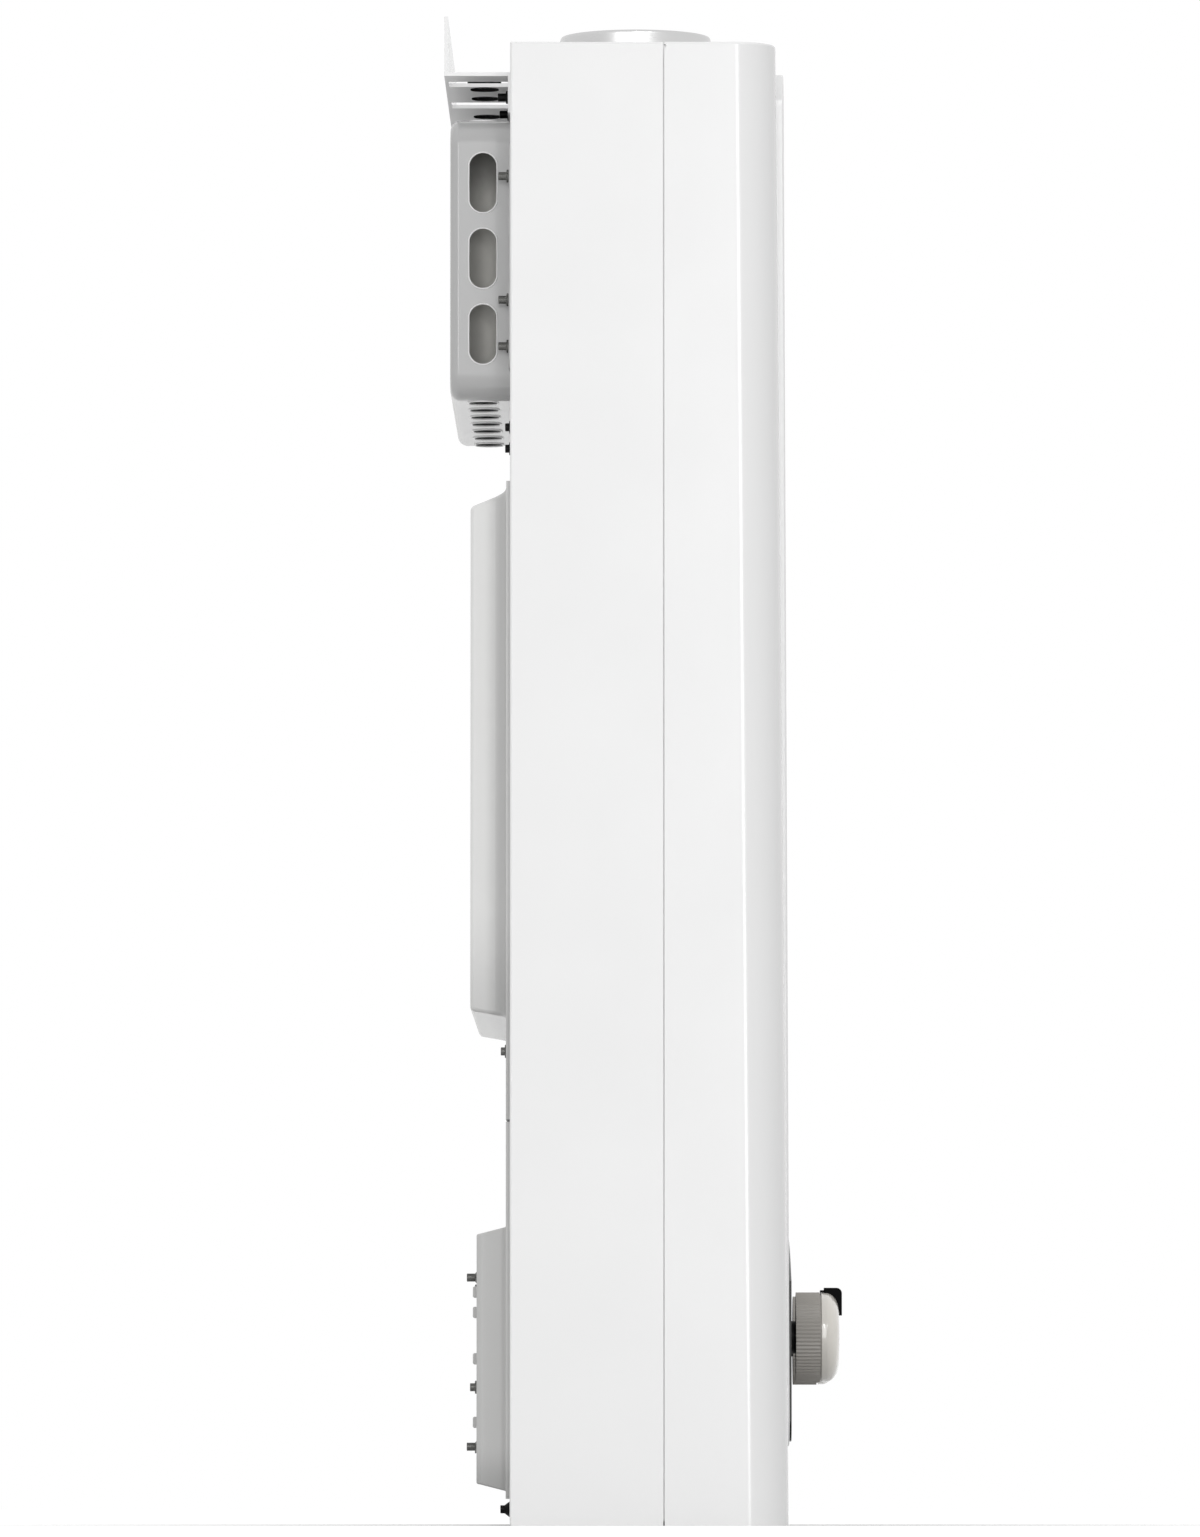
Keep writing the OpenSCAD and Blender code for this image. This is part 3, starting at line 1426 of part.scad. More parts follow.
module knob_pointer(x) {
  top = grip_r + pointer_rise;
  front = cap_face_depth + pointer_proud;
  back = front - pointer_l;
  difference() {
    intersection() {
      block([x - pointer_w / 2, x + pointer_w / 2], [back, front], [knob_z + pointer_low, knob_z + top]);
      translate([x, 0, 0]) rotate([90, 0, 90]) linear_extrude(pointer_w, center = true) {
        translate([-front + pointer_r, 0]) square([pointer_l, knob_z + top]);
        translate([-front, 0]) square([pointer_l, knob_z + top - pointer_r]);
        translate([-front + pointer_r, knob_z + top - pointer_r]) circle(pointer_r);
      }
    }
    knob_cap_form(x);
  }
}

module knob_spindle(x, end_depth) {
  bar_forward(x, end_depth, knob_z, spindle_r, cover_depth_top - end_depth);
  bar_forward(x, cover_depth_top - hub_r / 2, knob_z, hub_r, knob_back_depth - cover_depth_top + hub_r / 2);
}

module gas_knob_grip() {
  color(grip_grey) in_frame() knob_grip(gas_x);
}

module gas_knob_cap() {
  color(grey_plastic) in_frame() knob_cap_form(gas_x);
}

module gas_knob_pointer() {
  color(black) in_frame() knob_pointer(gas_x);
}

module gas_spindle() {
  color(black) in_frame() knob_spindle(gas_x, gas_valve_front + gland_l - socket_l + seat_gap);
}

module water_knob_grip() {
  color(grip_grey) in_frame() knob_grip(water_x);
}

module water_knob_cap() {
  color(grey_plastic) in_frame() knob_cap_form(water_x);
}

module water_knob_pointer() {
  color(black) in_frame() knob_pointer(water_x);
}

module water_spindle() {
  end_depth = gas_valve_front + 2 * sheet_t + gland_l - socket_l + seat_gap;
  color(black) in_frame() knob_spindle(water_x, end_depth);
}

rear_chassis();
rear_panel();
lower_rear_cover();
air_hood();
wall_bracket();
front_cover();
front_panel();
control_panel();
display_window();
bottom_plate();
flue_collar();
fan_housing();
fan_motor();
fan_wheel();
fan_shaft();
exchanger_shell();
exchanger_fins();
exchanger_tubes();
water_coil();
burner_box();
burner_rack();
burner_blades();
gas_manifold();
gas_injectors();
ignition_electrodes();
flame_sensor();
gas_valve_body();
solenoid_coil();
gas_inlet_fitting();
gas_pipe();
water_valve_body();
diaphragm();
diaphragm_cover();
cold_inlet_fitting();
inlet_filter();
cold_pipe();
hot_outlet_fitting();
hot_pipe();
overheat_thermostat();
controller_box();
ignition_transformer();
microswitch();
microswitch_lever();
push_rod();
air_pressure_switch();
cable_gland();
drain_plug();
gas_knob_grip();
gas_knob_cap();
gas_knob_pointer();
gas_spindle();
water_knob_grip();
water_knob_cap();
water_knob_pointer();
water_spindle();
hood_screws();
bracket_screws();
rear_screws();
case_screws();
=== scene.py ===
"""Looks of a slim wall-hung gas water heater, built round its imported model.

Metres, +Z up, -Y is the front. Sizes in the heater's classes are in mm, the studio's in metres.
"""

import json
import logging
import math
from contextlib import contextmanager
from dataclasses import dataclass
from enum import Enum
from typing import Callable, Iterator

import bmesh
import bpy
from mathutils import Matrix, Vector

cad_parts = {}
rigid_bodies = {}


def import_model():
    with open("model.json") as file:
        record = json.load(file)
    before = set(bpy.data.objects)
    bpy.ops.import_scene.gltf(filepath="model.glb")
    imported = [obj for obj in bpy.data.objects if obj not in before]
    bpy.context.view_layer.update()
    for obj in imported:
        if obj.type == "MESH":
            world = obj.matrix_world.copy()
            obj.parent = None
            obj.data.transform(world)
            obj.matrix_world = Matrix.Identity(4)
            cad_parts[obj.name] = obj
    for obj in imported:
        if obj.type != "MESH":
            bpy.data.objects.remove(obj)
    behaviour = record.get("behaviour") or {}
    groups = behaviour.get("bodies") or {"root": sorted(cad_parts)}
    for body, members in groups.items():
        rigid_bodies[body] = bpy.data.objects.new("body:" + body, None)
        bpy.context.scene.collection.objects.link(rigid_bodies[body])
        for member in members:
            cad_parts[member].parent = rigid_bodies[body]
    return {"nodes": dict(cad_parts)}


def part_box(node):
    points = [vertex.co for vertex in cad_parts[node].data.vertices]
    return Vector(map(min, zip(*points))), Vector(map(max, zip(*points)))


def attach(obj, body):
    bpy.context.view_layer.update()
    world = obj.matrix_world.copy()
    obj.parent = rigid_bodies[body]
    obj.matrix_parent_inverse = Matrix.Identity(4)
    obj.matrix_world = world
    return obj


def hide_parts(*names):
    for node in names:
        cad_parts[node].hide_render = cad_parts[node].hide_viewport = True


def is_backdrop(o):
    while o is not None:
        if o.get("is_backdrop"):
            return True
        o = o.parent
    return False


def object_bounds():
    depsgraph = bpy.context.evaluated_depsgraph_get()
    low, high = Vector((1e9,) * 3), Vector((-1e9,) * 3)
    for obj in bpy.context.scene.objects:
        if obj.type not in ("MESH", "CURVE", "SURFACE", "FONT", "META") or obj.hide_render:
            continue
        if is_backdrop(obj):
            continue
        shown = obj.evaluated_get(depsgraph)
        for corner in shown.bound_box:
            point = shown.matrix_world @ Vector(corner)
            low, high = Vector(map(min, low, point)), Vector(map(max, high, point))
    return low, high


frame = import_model()

LOG = logging.getLogger("heater")
MM = 0.001
# Places closer than this, in metres, are the same
SAME = 1e-5
# Points closer than this, in metres, are merged
MERGE = 0.002 * MM
# A normal's share from which a face is square to an axis, and below which it runs along it
SQUARE = 0.99
ALONG = 0.3
CASE_BODY = "case"
# The case's back plane, in mm
BACK_Y = 52.25
# The knobs' axes: how far from the middle and above the foot, in mm
KNOB_X = 48.0
KNOB_Z = 74.8
# Edges sharper than this, in radians, are broken on screws and folds
SHARP = 0.9
# How far a knob turns to either side, in degrees
KNOB_SWEEP = 135.0

Point = tuple[float, float, float]
Span = tuple[float, float]
Piece = bpy.types.Object
Tree = bpy.types.NodeTree
Socket = bpy.types.NodeSocket
# Takes an edge's two ends, or a face's middle and normal
PairTest = Callable[[Vector, Vector], bool]


class Kind(Enum):
    """What is selected in edit mode."""

    POINTS = "VERT"
    EDGES = "EDGE"
    FACES = "FACE"


class Through(Enum):
    """The way a slot goes through its sheet: its tool's turn, and the axis it is long on."""

    SIDE = ((0.0, math.pi / 2, 0.0), 2)
    UP = ((0.0, 0.0, 0.0), 0)


# Selecting and editing


def deselect_all() -> None:
    """Leaves nothing selected."""
    for thing in bpy.context.view_layer.objects:
        thing.select_set(False)


def activate(piece: Piece) -> None:
    """Makes one piece the only selected and active object."""
    deselect_all()
    piece.select_set(True)
    bpy.context.view_layer.objects.active = piece


@contextmanager
def editing(piece: Piece) -> Iterator[None]:
    """Edit mode on one piece, with nothing selected at the start.

    Args:
        piece: The piece to edit.
    """
    activate(piece)
    bpy.ops.object.mode_set(mode="EDIT")
    bpy.ops.mesh.select_all(action="DESELECT")
    yield
    bpy.ops.object.mode_set(mode="OBJECT")


def near(value: float, target: float) -> bool:
    """Whether two places on an axis, in metres, are the same."""
    return abs(value - target) < SAME


def pick(piece: Piece, kind: Kind, test: Callable[..., bool]) -> int:
    """Selects the points, edges or faces that pass a test, and nothing else.

    Args:
        piece: A piece in edit mode.
        kind: What is selected.
        test: Takes a point, an edge's two ends, or a face's middle and normal, in metres.

    Returns:
        How many pass.
    """
    bpy.ops.mesh.select_mode(type=kind.value)
    bpy.ops.mesh.select_all(action="DESELECT")
    mesh = bmesh.from_edit_mesh(piece.data)
    if kind is Kind.POINTS:
        found = [p for p in mesh.verts if test(p.co)]
    elif kind is Kind.EDGES:
        found = [e for e in mesh.edges if test(e.verts[0].co, e.verts[1].co)]
    else:
        found = [f for f in mesh.faces if test(f.calc_center_median(), f.normal)]
    for part in found:
        part.select_set(True)
    if kind is Kind.POINTS:
        mesh.select_flush_mode()
    bmesh.update_edit_mesh(piece.data)
    return len(found)


def fit_selected(piece: Piece, x: Span, y: Span, z: Span) -> None:
    """Resizes and moves the selection in edit mode until its box has the given spans.

    Args:
        piece: A piece in edit mode.
        x: Left and right end, in metres.
        y: Front and rear end, in metres.
        z: Low and high end, in metres.
    """
    points = [v.co.copy() for v in bmesh.from_edit_mesh(piece.data).verts if v.select]
    low = Vector(min(p[i] for p in points) for i in range(3))
    high = Vector(max(p[i] for p in points) for i in range(3))
    spans = (x, y, z)
    factors = []
    for i, span in enumerate(spans):
        length = high[i] - low[i]
        factors.append((span[1] - span[0]) / length if length > 1e-7 else 1.0)
    middle = (low + high) / 2
    bpy.ops.transform.resize(value=factors, center_override=middle)
    target = Vector((s[0] + s[1]) / 2 for s in spans)
    bpy.ops.transform.translate(value=target - middle)


def bake_place(piece: Piece) -> None:
    """Puts a piece's place, turn and size into its mesh."""
    activate(piece)
    bpy.ops.object.transform_apply(location=True, rotation=True, scale=True)


def use_modifier(piece: Piece, kind: str, **settings: object) -> None:
    """Adds one modifier and applies it.

    Args:
        piece: The piece to change.
        kind: The modifier's type.
        settings: Its settings.
    """
    activate(piece)
    bpy.ops.object.modifier_add(type=kind)
    modifier = piece.modifiers[-1]
    for name, value in settings.items():
        setattr(modifier, name, value)
    bpy.ops.object.modifier_apply(modifier=modifier.name)


def combine(piece: Piece, tool: Piece, operation: str = "DIFFERENCE") -> None:
    """Cuts a tool out of a piece, or adds it to the piece, and removes the tool.

    Args:
        piece: The piece to change.
        tool: The tool.
        operation: What is done, by the Boolean modifier's name for it.
    """
    use_modifier(piece, "BOOLEAN", object=tool, operation=operation, solver="EXACT")
    bpy.data.objects.remove(tool)


def soften(piece: Piece, width: float, segments: int, sharp: float) -> None:
    """Breaks all sharp edges of a piece.

    Args:
        piece: The piece to change.
        width: How far the bevel goes from the edge, in mm.
        segments: Steps of the bevel.
        sharp: The angle from which an edge counts as sharp, in radians.
    """
    use_modifier(
        piece,
        "BEVEL",
        width=width * MM,
        segments=segments,
        limit_method="ANGLE",
        angle_limit=sharp,
    )


def smooth(piece: Piece, angle: float = 32, weighted: bool = True) -> Piece:
    """Shades a piece smooth up to an angle, with its flat faces kept flat.

    Args:
        piece: The piece to shade.
        angle: Edges sharper than this, in degrees, stay crisp.
        weighted: Whether large faces lead the normals.

    Returns:
        The same piece.
    """
    activate(piece)
    bpy.ops.object.shade_smooth_by_angle(angle=math.radians(angle))
    if weighted:
        use_modifier(piece, "WEIGHTED_NORMAL", keep_sharp=True, mode="FACE_AREA", weight=90)
    return piece


def block(name: str, x: Span, y: Span, z: Span) -> Piece:
    """A box primitive to start a piece from.

    Args:
        name: The piece's name.
        x: Left and right end, in mm.
        y: Front and rear end, in mm.
        z: Low and high end, in mm.

    Returns:
        The new object, with its place in its mesh.
    """
    deselect_all()
    middle = [MM * (s[0] + s[1]) / 2 for s in (x, y, z)]
    bpy.ops.mesh.primitive_cube_add(size=1, location=middle)
    piece = bpy.context.object
    piece.name = name
    piece.scale = [MM * (s[1] - s[0]) for s in (x, y, z)]
    bake_place(piece)
    return piece


def traced(node: str, name: str) -> Piece:
    """A new piece that starts as a merged copy of a node's mesh, its flat faces whole.

    Args:
        node: The node to copy.
        name: The new piece's name.

    Returns:
        The new object.
    """
    piece = bpy.data.objects.new(name, frame["nodes"][node].data.copy())
    bpy.context.scene.collection.objects.link(piece)
    piece.data.materials.clear()
    with editing(piece):
        bpy.ops.mesh.customdata_custom_splitnormals_clear()
        bpy.ops.mesh.select_all(action="SELECT")
        bpy.ops.mesh.remove_doubles(threshold=MERGE)
        bpy.ops.mesh.dissolve_limited(angle_limit=math.radians(0.3), delimit={"NORMAL"})
    return piece


def round_edges(piece: Piece, radius: float, test: PairTest, segments: int = 3) -> None:
    """Rounds the edges that pass a test.

    Args:
        piece: The piece to change.
        radius: How far the rounding goes from the edge, in mm.
        test: Takes an edge's two ends, in metres.
        segments: Steps of the rounding.
    """
    with editing(piece):
        found = pick(piece, Kind.EDGES, test)
        if found:
            bpy.ops.mesh.bevel(
                offset=radius * MM, segments=segments, affect="EDGES", clamp_overlap=True
            )
    LOG.info("%s: %d edges rounded to %.2f mm", piece.name, found, radius)


def join(pieces: list[Piece], name: str) -> Piece:
    """Joins several objects into one piece.

    Args:
        pieces: The objects, the first of which stays.
        name: The joined piece's name.

    Returns:
        The joined piece.
    """
    deselect_all()
    for piece in pieces:
        piece.select_set(True)
    bpy.context.view_layer.objects.active = pieces[0]
    bpy.ops.object.join()
    pieces[0].name = name
    return pieces[0]


def mirrored(piece: Piece) -> Piece:
    """A copy of a piece with its own mesh, mirrored left to right.

    Args:
        piece: The piece to copy.

    Returns:
        The copy.
    """
    twin = piece.copy()
    twin.data = piece.data.copy()
    bpy.context.scene.collection.objects.link(twin)
    twin.scale = (-1, 1, 1)
    bake_place(twin)
    with editing(twin):
        bpy.ops.mesh.select_all(action="SELECT")
        bpy.ops.mesh.normals_make_consistent(inside=False)
    return twin


@dataclass(frozen=True)
class Slot:
    """A slot with straight sides and round ends."""

    centre: Point
    through: Through
    straight: float
    radius: float

    def cutter(self, length: float) -> Piece:
        """The tool that cuts the slot.

        Args:
            length: Length of the tool, in mm.

        Returns:
            The new object.
        """
        deselect_all()
        bpy.ops.mesh.primitive_cylinder_add(
            vertices=36,
            radius=self.radius * MM,
            depth=length * MM,
            location=Vector(self.centre) * MM,
            rotation=self.through.value[0],
        )
        return self._stretched()

    def lip(self, bead: float, off: float = 0.0) -> Piece:
        """The rolled lip round the slot.

        Args:
            bead: Radius of the lip's own bead, in mm.
            off: How far outside the slot's edge its middle lies, in mm.

        Returns:
            The new object.
        """
        deselect_all()
        bpy.ops.mesh.primitive_torus_add(
            major_segments=36,
            minor_segments=8,
            major_radius=(self.radius + off) * MM,
            minor_radius=bead * MM,
            location=Vector(self.centre) * MM,
            rotation=self.through.value[0],
        )
        return self._stretched()

    def _stretched(self) -> Piece:
        """Pulls the new round primitive apart at its middle, to the slot's straight sides."""
        piece = bpy.context.object
        bake_place(piece)
        axis = self.through.value[1]
        middle = self.centre[axis] * MM
        push = [0.0, 0.0, 0.0]
        push[axis] = self.straight / 2 * MM
        with editing(piece):
            for way in (1, -1):
                pick(piece, Kind.POINTS, lambda p: way * (p[axis] - middle) > SAME / 10)
                bpy.ops.transform.translate(value=[way * v for v in push])
        return piece


# Finishes


def linear(hex_colour: str) -> tuple[float, float, float, float]:
    """The linear colour of an sRGB hex value.

    Args:
        hex_colour: Six hex digits.

    Returns:
        Red, green, blue and an alpha of 1.
    """
    channels = [int(hex_colour[i : i + 2], 16) / 255 for i in (0, 2, 4)]
    r, g, b = (c / 12.92 if c <= 0.04045 else ((c + 0.055) / 1.055) ** 2.4 for c in channels)
    return r, g, b, 1.0


def add_node(
    tree: Tree,
    kind: str,
    inputs: dict[str | int, object] | None = None,
    **settings: object,
) -> bpy.types.Node:
    """Adds one shader node with its settings, values and links.

    Args:
        tree: The tree that gets the node.
        kind: The node's type, without its ShaderNode prefix.
        inputs: By input, a value, or the output socket that feeds it.
        settings: The node's own settings.

    Returns:
        The new node.
    """
    node = tree.nodes.new("ShaderNode" + kind)
    for name, value in settings.items():
        setattr(node, name, value)
    for name, value in (inputs or {}).items():
        if isinstance(value, Socket):
            tree.links.new(value, node.inputs[name])
        else:
            node.inputs[name].default_value = value
    return node


def per_metre(size_mm: float) -> float:
    """Scale of a noise whose grains are this large, in mm."""
    return 1000.0 / size_mm


@dataclass(frozen=True)
class Swing:
    """A value that goes from low to high while its source goes from start to end."""

    source: Socket
    low: float
    high: float
    start: float = 0.0
    end: float = 1.0
    curve: str = "LINEAR"

    def inputs(self) -> dict[str | int, object]:
        """The same, as inputs of a Map Range node."""
        return {
            "Value": self.source,
            "From Min": self.start,
            "From Max": self.end,
            "To Min": self.low,
            "To Max": self.high,
        }


@dataclass(frozen=True)
class Pattern:
    """What a finish does over its surface: to the height, the roughness and the tone."""

    height: Socket
    strength: float
    depth: float
    roughness: Swing | None = None
    tones: tuple[Swing, ...] = ()


@dataclass(frozen=True)
class Finish:
    """What every finish has: a name, a colour, the record's slot and how it takes the light.

    A finish that only some faces or carried-over nodes wear has no slot.
    """

    name: str
    colour: str
    slot: str = ""
    roughness: float = 0.5
    metallic: float = 0.0
    gloss: float = 0.5
    coat: float = 0.0

    def material(self) -> bpy.types.Material:
        """The finish's material, made once."""
        made = bpy.data.materials.get(self.name)
        if made is None:
            made = bpy.data.materials.new(self.name)
            made.use_nodes = True
            made.node_tree.nodes.clear()
            self._fill(made.node_tree)
        return made

    def _fill(self, tree: Tree) -> None:
        """Adds the shader, and lets the finish's pattern work on it.

        Args:
            tree: The material's empty tree.
        """
        shader = add_node(
            tree,
            "BsdfPrincipled",
            {
                "Base Color": linear(self.colour),
                "Metallic": self.metallic,
                "Roughness": self.roughness,
                "Specular IOR Level": self.gloss,
                "Coat Weight": self.coat,
                "Coat Roughness": 0.05,
            },
        )
        add_node(tree, "OutputMaterial", {"Surface": shader.outputs[0]})
        pattern = self.pattern(tree, add_node(tree, "TexCoord").outputs["Object"])
        bump = add_node(
            tree,
            "Bump",
            {
                "Height": pattern.height,
                "Strength": pattern.strength,
                "Distance": pattern.depth * MM,
            },
        )
        tree.links.new(bump.outputs[0], shader.inputs["Normal"])
        if pattern.roughness:
            rough = add_node(tree, "MapRange", pattern.roughness.inputs())
            tree.links.new(rough.outputs[0], shader.inputs["Roughness"])
        colour = linear(self.colour)
        for tone in pattern.tones:
            shade = add_node(tree, "MapRange", tone.inputs(), interpolation_type=tone.curve)
            tint = add_node(
                tree, "MixRGB", {0: 1.0, 1: colour, 2: shade.outputs[0]}, blend_type="MULTIPLY"
            )
            colour = tint.outputs[0]
        if pattern.tones:
            tree.links.new(colour, shader.inputs["Base Color"])

    def pattern(self, tree: Tree, place: Socket) -> Pattern:
        """The finish's own pattern.

        Args:
            tree: The material's tree.
            place: Object coordinates, in metres.

        Returns:
            What the pattern does.
        """
        raise NotImplementedError


@dataclass(frozen=True)
class PowderCoat(Finish):
    """Baked polyester powder on sheet steel: an even colour with a fine orange peel."""

    peel_mm: float = 1.6
    peel_depth: float = 0.006
    drift_mm: float = 45.0

    def pattern(self, tree: Tree, place: Socket) -> Pattern:
        """Orange peel, and a slow drift of roughness and tone.

        Args:
            tree: The material's tree.
            place: Object coordinates, in metres.

        Returns:
            What the pattern does.
        """
        peel = add_node(
            tree,
            "TexNoise",
            {"Vector": place, "Scale": per_metre(self.peel_mm), "Detail": 2.0, "Roughness": 0.4},
        )
        drift = add_node(
            tree, "TexNoise", {"Vector": place, "Scale": per_metre(self.drift_mm), "Detail": 3.0}
        ).outputs["Fac"]
        return Pattern(
            peel.outputs["Fac"],
            strength=0.25,
            depth=self.peel_depth,
            roughness=Swing(drift, self.roughness - 0.03, self.roughness + 0.04),
            tones=(Swing(drift, 0.985, 1.01),),
        )


@dataclass(frozen=True)
class MouldedPlastic(Finish):
    """Injection-moulded plastic: the tool's fine grain, and a slightly cloudy gloss."""

    # Real mould grain is about 0.1 mm: too fine to show, so it is drawn coarser
    grain_mm: float = 0.5
    grain_depth: float = 0.02
    cloud_mm: float = 14.0

    def pattern(self, tree: Tree, place: Socket) -> Pattern:
        """The mould grain, and a faint cloud in the roughness.

        Args:
            tree: The material's tree.
            place: Object coordinates, in metres.

        Returns:
            What the pattern does.
        """
        grain = add_node(
            tree, "TexNoise", {"Vector": place, "Scale": per_metre(self.grain_mm), "Detail": 3.0}
        )
        cloud = add_node(
            tree, "TexNoise", {"Vector": place, "Scale": per_metre(self.cloud_mm), "Detail": 4.0}
        )
        low = max(0.03, self.roughness - 0.04)
        return Pattern(
            grain.outputs["Fac"],
            strength=0.3,
            depth=self.grain_depth,
            roughness=Swing(cloud.outputs["Fac"], low, self.roughness + 0.05),
        )


@dataclass(frozen=True)
class WorkedMetal(Finish):
    """Bare metal with marks of how it was worked, drawn out along one direction."""

    metallic: float = 1.0
    stretch: Point = (1.0, 1.0, 1.0)
    # Real marks are a tenth of this: too fine to show, so they are drawn coarser
    mark_mm: float = 0.6
    mark_depth: float = 0.01
    stain: float = 0.12
    stain_mm: float = 12.0

    def pattern(self, tree: Tree, place: Socket) -> Pattern:
        """The marks, in height and roughness, and a stain in the tone.

        Args:
            tree: The material's tree.
            place: Object coordinates, in metres.

        Returns:
            What the pattern does.
        """
        drawn = add_node(tree, "Mapping", {"Vector": place, "Scale": self.stretch}).outputs[0]
        marks = add_node(
            tree, "TexNoise", {"Vector": drawn, "Scale": per_metre(self.mark_mm), "Detail": 4.0}
        ).outputs["Fac"]
        cloud = add_node(
            tree, "TexNoise", {"Vector": place, "Scale": per_metre(self.stain_mm), "Detail": 5.0}
        ).outputs["Fac"]
        low = max(0.05, self.roughness - 0.08)
        return Pattern(
            marks,
            strength=0.4,
            depth=self.mark_depth,
            roughness=Swing(marks, low, self.roughness + 0.1),
            tones=(Swing(cloud, 1.0 - self.stain, 1.0 + self.stain / 3),),
        )


@dataclass(frozen=True)
class ZincSheet(Finish):
    """Hot-dipped zinc on sheet steel: crystals a few mm wide that differ a little in tone."""

    metallic: float = 0.85
    crystal_mm: float = 7.0
    contrast: float = 0.1
    skin_mm: float = 0.8

    def pattern(self, tree: Tree, place: Socket) -> Pattern:
        """The crystals, in tone and roughness, under a fine skin.

        Args:
            tree: The material's tree.
            place: Object coordinates, in metres.

        Returns:
            What the pattern does.
        """
        crystal = add_node(
            tree, "TexVoronoi", {"Vector": place, "Scale": per_metre(self.crystal_mm)}
        )
        tone = add_node(tree, "SeparateColor", {0: crystal.outputs["Color"]})
        skin = add_node(
            tree, "TexNoise", {"Vector": place, "Scale": per_metre(self.skin_mm), "Detail": 2.0}
        )
        return Pattern(
            skin.outputs["Fac"],
            strength=0.2,
            depth=0.01,
            roughness=Swing(tone.outputs[1], self.roughness - 0.05, self.roughness + 0.08),
            tones=(Swing(tone.outputs[0], 1.0 - self.contrast, 1.0),),
        )


@dataclass(frozen=True)
class Fade:
    """A slow darkening along one axis, in mm, that is painted shade: none at its first place, times
    `tone` at its second.
    """

    axis: str
    clean: float
    shade_end: float
    tone: float


@dataclass(frozen=True)
class PaintedShadeSheet(Finish):
    """Sheet with painted shade toward some of its ends, with ragged borders."""

    fades: tuple[Fade, ...] = ()
    ragged_mm: float = 4.0
    cloud_mm: float = 9.0

    def pattern(self, tree: Tree, place: Socket) -> Pattern:
        """The painted shade of the fades, and a fine unevenness in the height.

        Args:
            tree: The material's tree.
            place: Object coordinates, in metres.

        Returns:
            What the pattern does.
        """
        cloud = add_node(
            tree, "TexNoise", {"Vector": place, "Scale": per_metre(self.cloud_mm), "Detail": 4.0}
        ).outputs["Fac"]
        along = add_node(tree, "SeparateXYZ", {0: place})
        tones = []
        for fade in self.fades:
            ragged = add_node(
                tree,
                "Math",
                {0: cloud, 1: self.ragged_mm * MM, 2: along.outputs[fade.axis]},
                operation="MULTIPLY_ADD",
            )
            clean, shade_end = fade.clean * MM, fade.shade_end * MM
            tones.append(Swing(ragged.outputs[0], 1.0, fade.tone, clean, shade_end, "SMOOTHSTEP"))
        return Pattern(cloud, strength=0.2, depth=0.02, tones=tuple(tones))


# White polyester powder on the case: an even white, with soft bright lines along its folds
CASE_WHITE = PowderCoat("white_powder_coat", "ECECEC", "case_white", roughness=0.13, gloss=1.0)
# Enamel on the raised front: a little whiter than the case, with a broader orange peel
PANEL_WHITE = PowderCoat(
    "white_gloss_enamel", "F1F1F1", "panel_white", roughness=0.18, peel_mm=2.4, gloss=0.55
)
# Light grey paint on the hood: its round edges catch a bright line
HOOD_GREY = PowderCoat("grey_hood_paint", "AEAEAE", "rear_grey", roughness=0.2, gloss=1.0)
# The slots' rolled lips: paler than the hood, as a painted highlight on their rims
LIP_GREY = PowderCoat("lip_painted_highlight", "E2E2E2", "rear_grey", roughness=0.25, gloss=0.7)
# Dull zinc of the baffle inside the hood, with painted shade toward the rear and the top
BAFFLE_ZINC = PaintedShadeSheet(
    "zinc_baffle_painted_shade",
    "D2D1CC",
    "sheet_steel",
    roughness=0.6,
    fades=(Fade("Y", BACK_Y + 8, BACK_Y + 19, 0.5), Fade("Z", 522.0, 540.0, 0.5)),
)
# Black gauze and pads behind the small slots: near black from every side, standing in for the shade
# inside the slots
BLACK_SHADE_BACKING = MouldedPlastic(
    "black_gauze_painted_shade",
    "070707",
    "black_steel",
    roughness=0.9,
    grain_mm=0.8,
    grain_depth=0.1,
    gloss=0.05,
)
# Painted shade on the walls inside the slots: near black
SLOT_WALL_SHADE = PowderCoat("slot_wall_painted_shade", "1E1E1E", roughness=0.6, gloss=0.1)
# Painted shade under the bracket: a cooler, duller grey on its downward faces
UNDERSIDE_SHADE_GREY = PowderCoat("bracket_underside_painted_shade", "DCDCDC", roughness=0.4, gloss=0.3)
# Paler paint on the middle panel than on the lower one, as a painted highlight on the bulge, with
# painted shade along the bulge's foot and at its lower end
MIDDLE_GREY = PaintedShadeSheet(
    "middle_sheet_painted_light_and_shade",
    "E2E2E1",
    "rear_grey",
    roughness=0.26,
    fades=(Fade("Y", BACK_Y + 11.5, BACK_Y + 5, 0.7), Fade("Z", 245.0, 198.0, 0.78)),
    ragged_mm=1.0,
    gloss=0.7,
)
# Grey paint on the lower rear cover, with painted shade near its lower end
REAR_GREY = PaintedShadeSheet(
    "lower_sheet_painted_shade",
    "BEBEBD",
    "rear_grey",
    roughness=0.36,
    fades=(Fade("Z", 34.0, 15.0, 0.72),),
    ragged_mm=2.0,
)
# Gloss black acrylic of the control panel: nearly a mirror at its edges
CONTROL_BLACK = MouldedPlastic(
    "black_gloss_acrylic",
    "060607",
    "control_black",
    roughness=0.12,
    grain_mm=3.0,
    grain_depth=0.002,
    gloss=0.25,
)
# Smoked acrylic of the blank window: a little bluer and clearer than the control panel
WINDOW = MouldedPlastic(
    "smoked_acrylic", "20262B", roughness=0.06, grain_mm=4.0, grain_depth=0.002
)
# Champagne-grey satin ABS of the knobs' grips: soft, with no clear reflection
GRIP = MouldedPlastic(
    "grip_satin_abs", "ADA9A3", "knob_grip", roughness=0.4, grain_mm=0.7, grain_depth=0.01
)
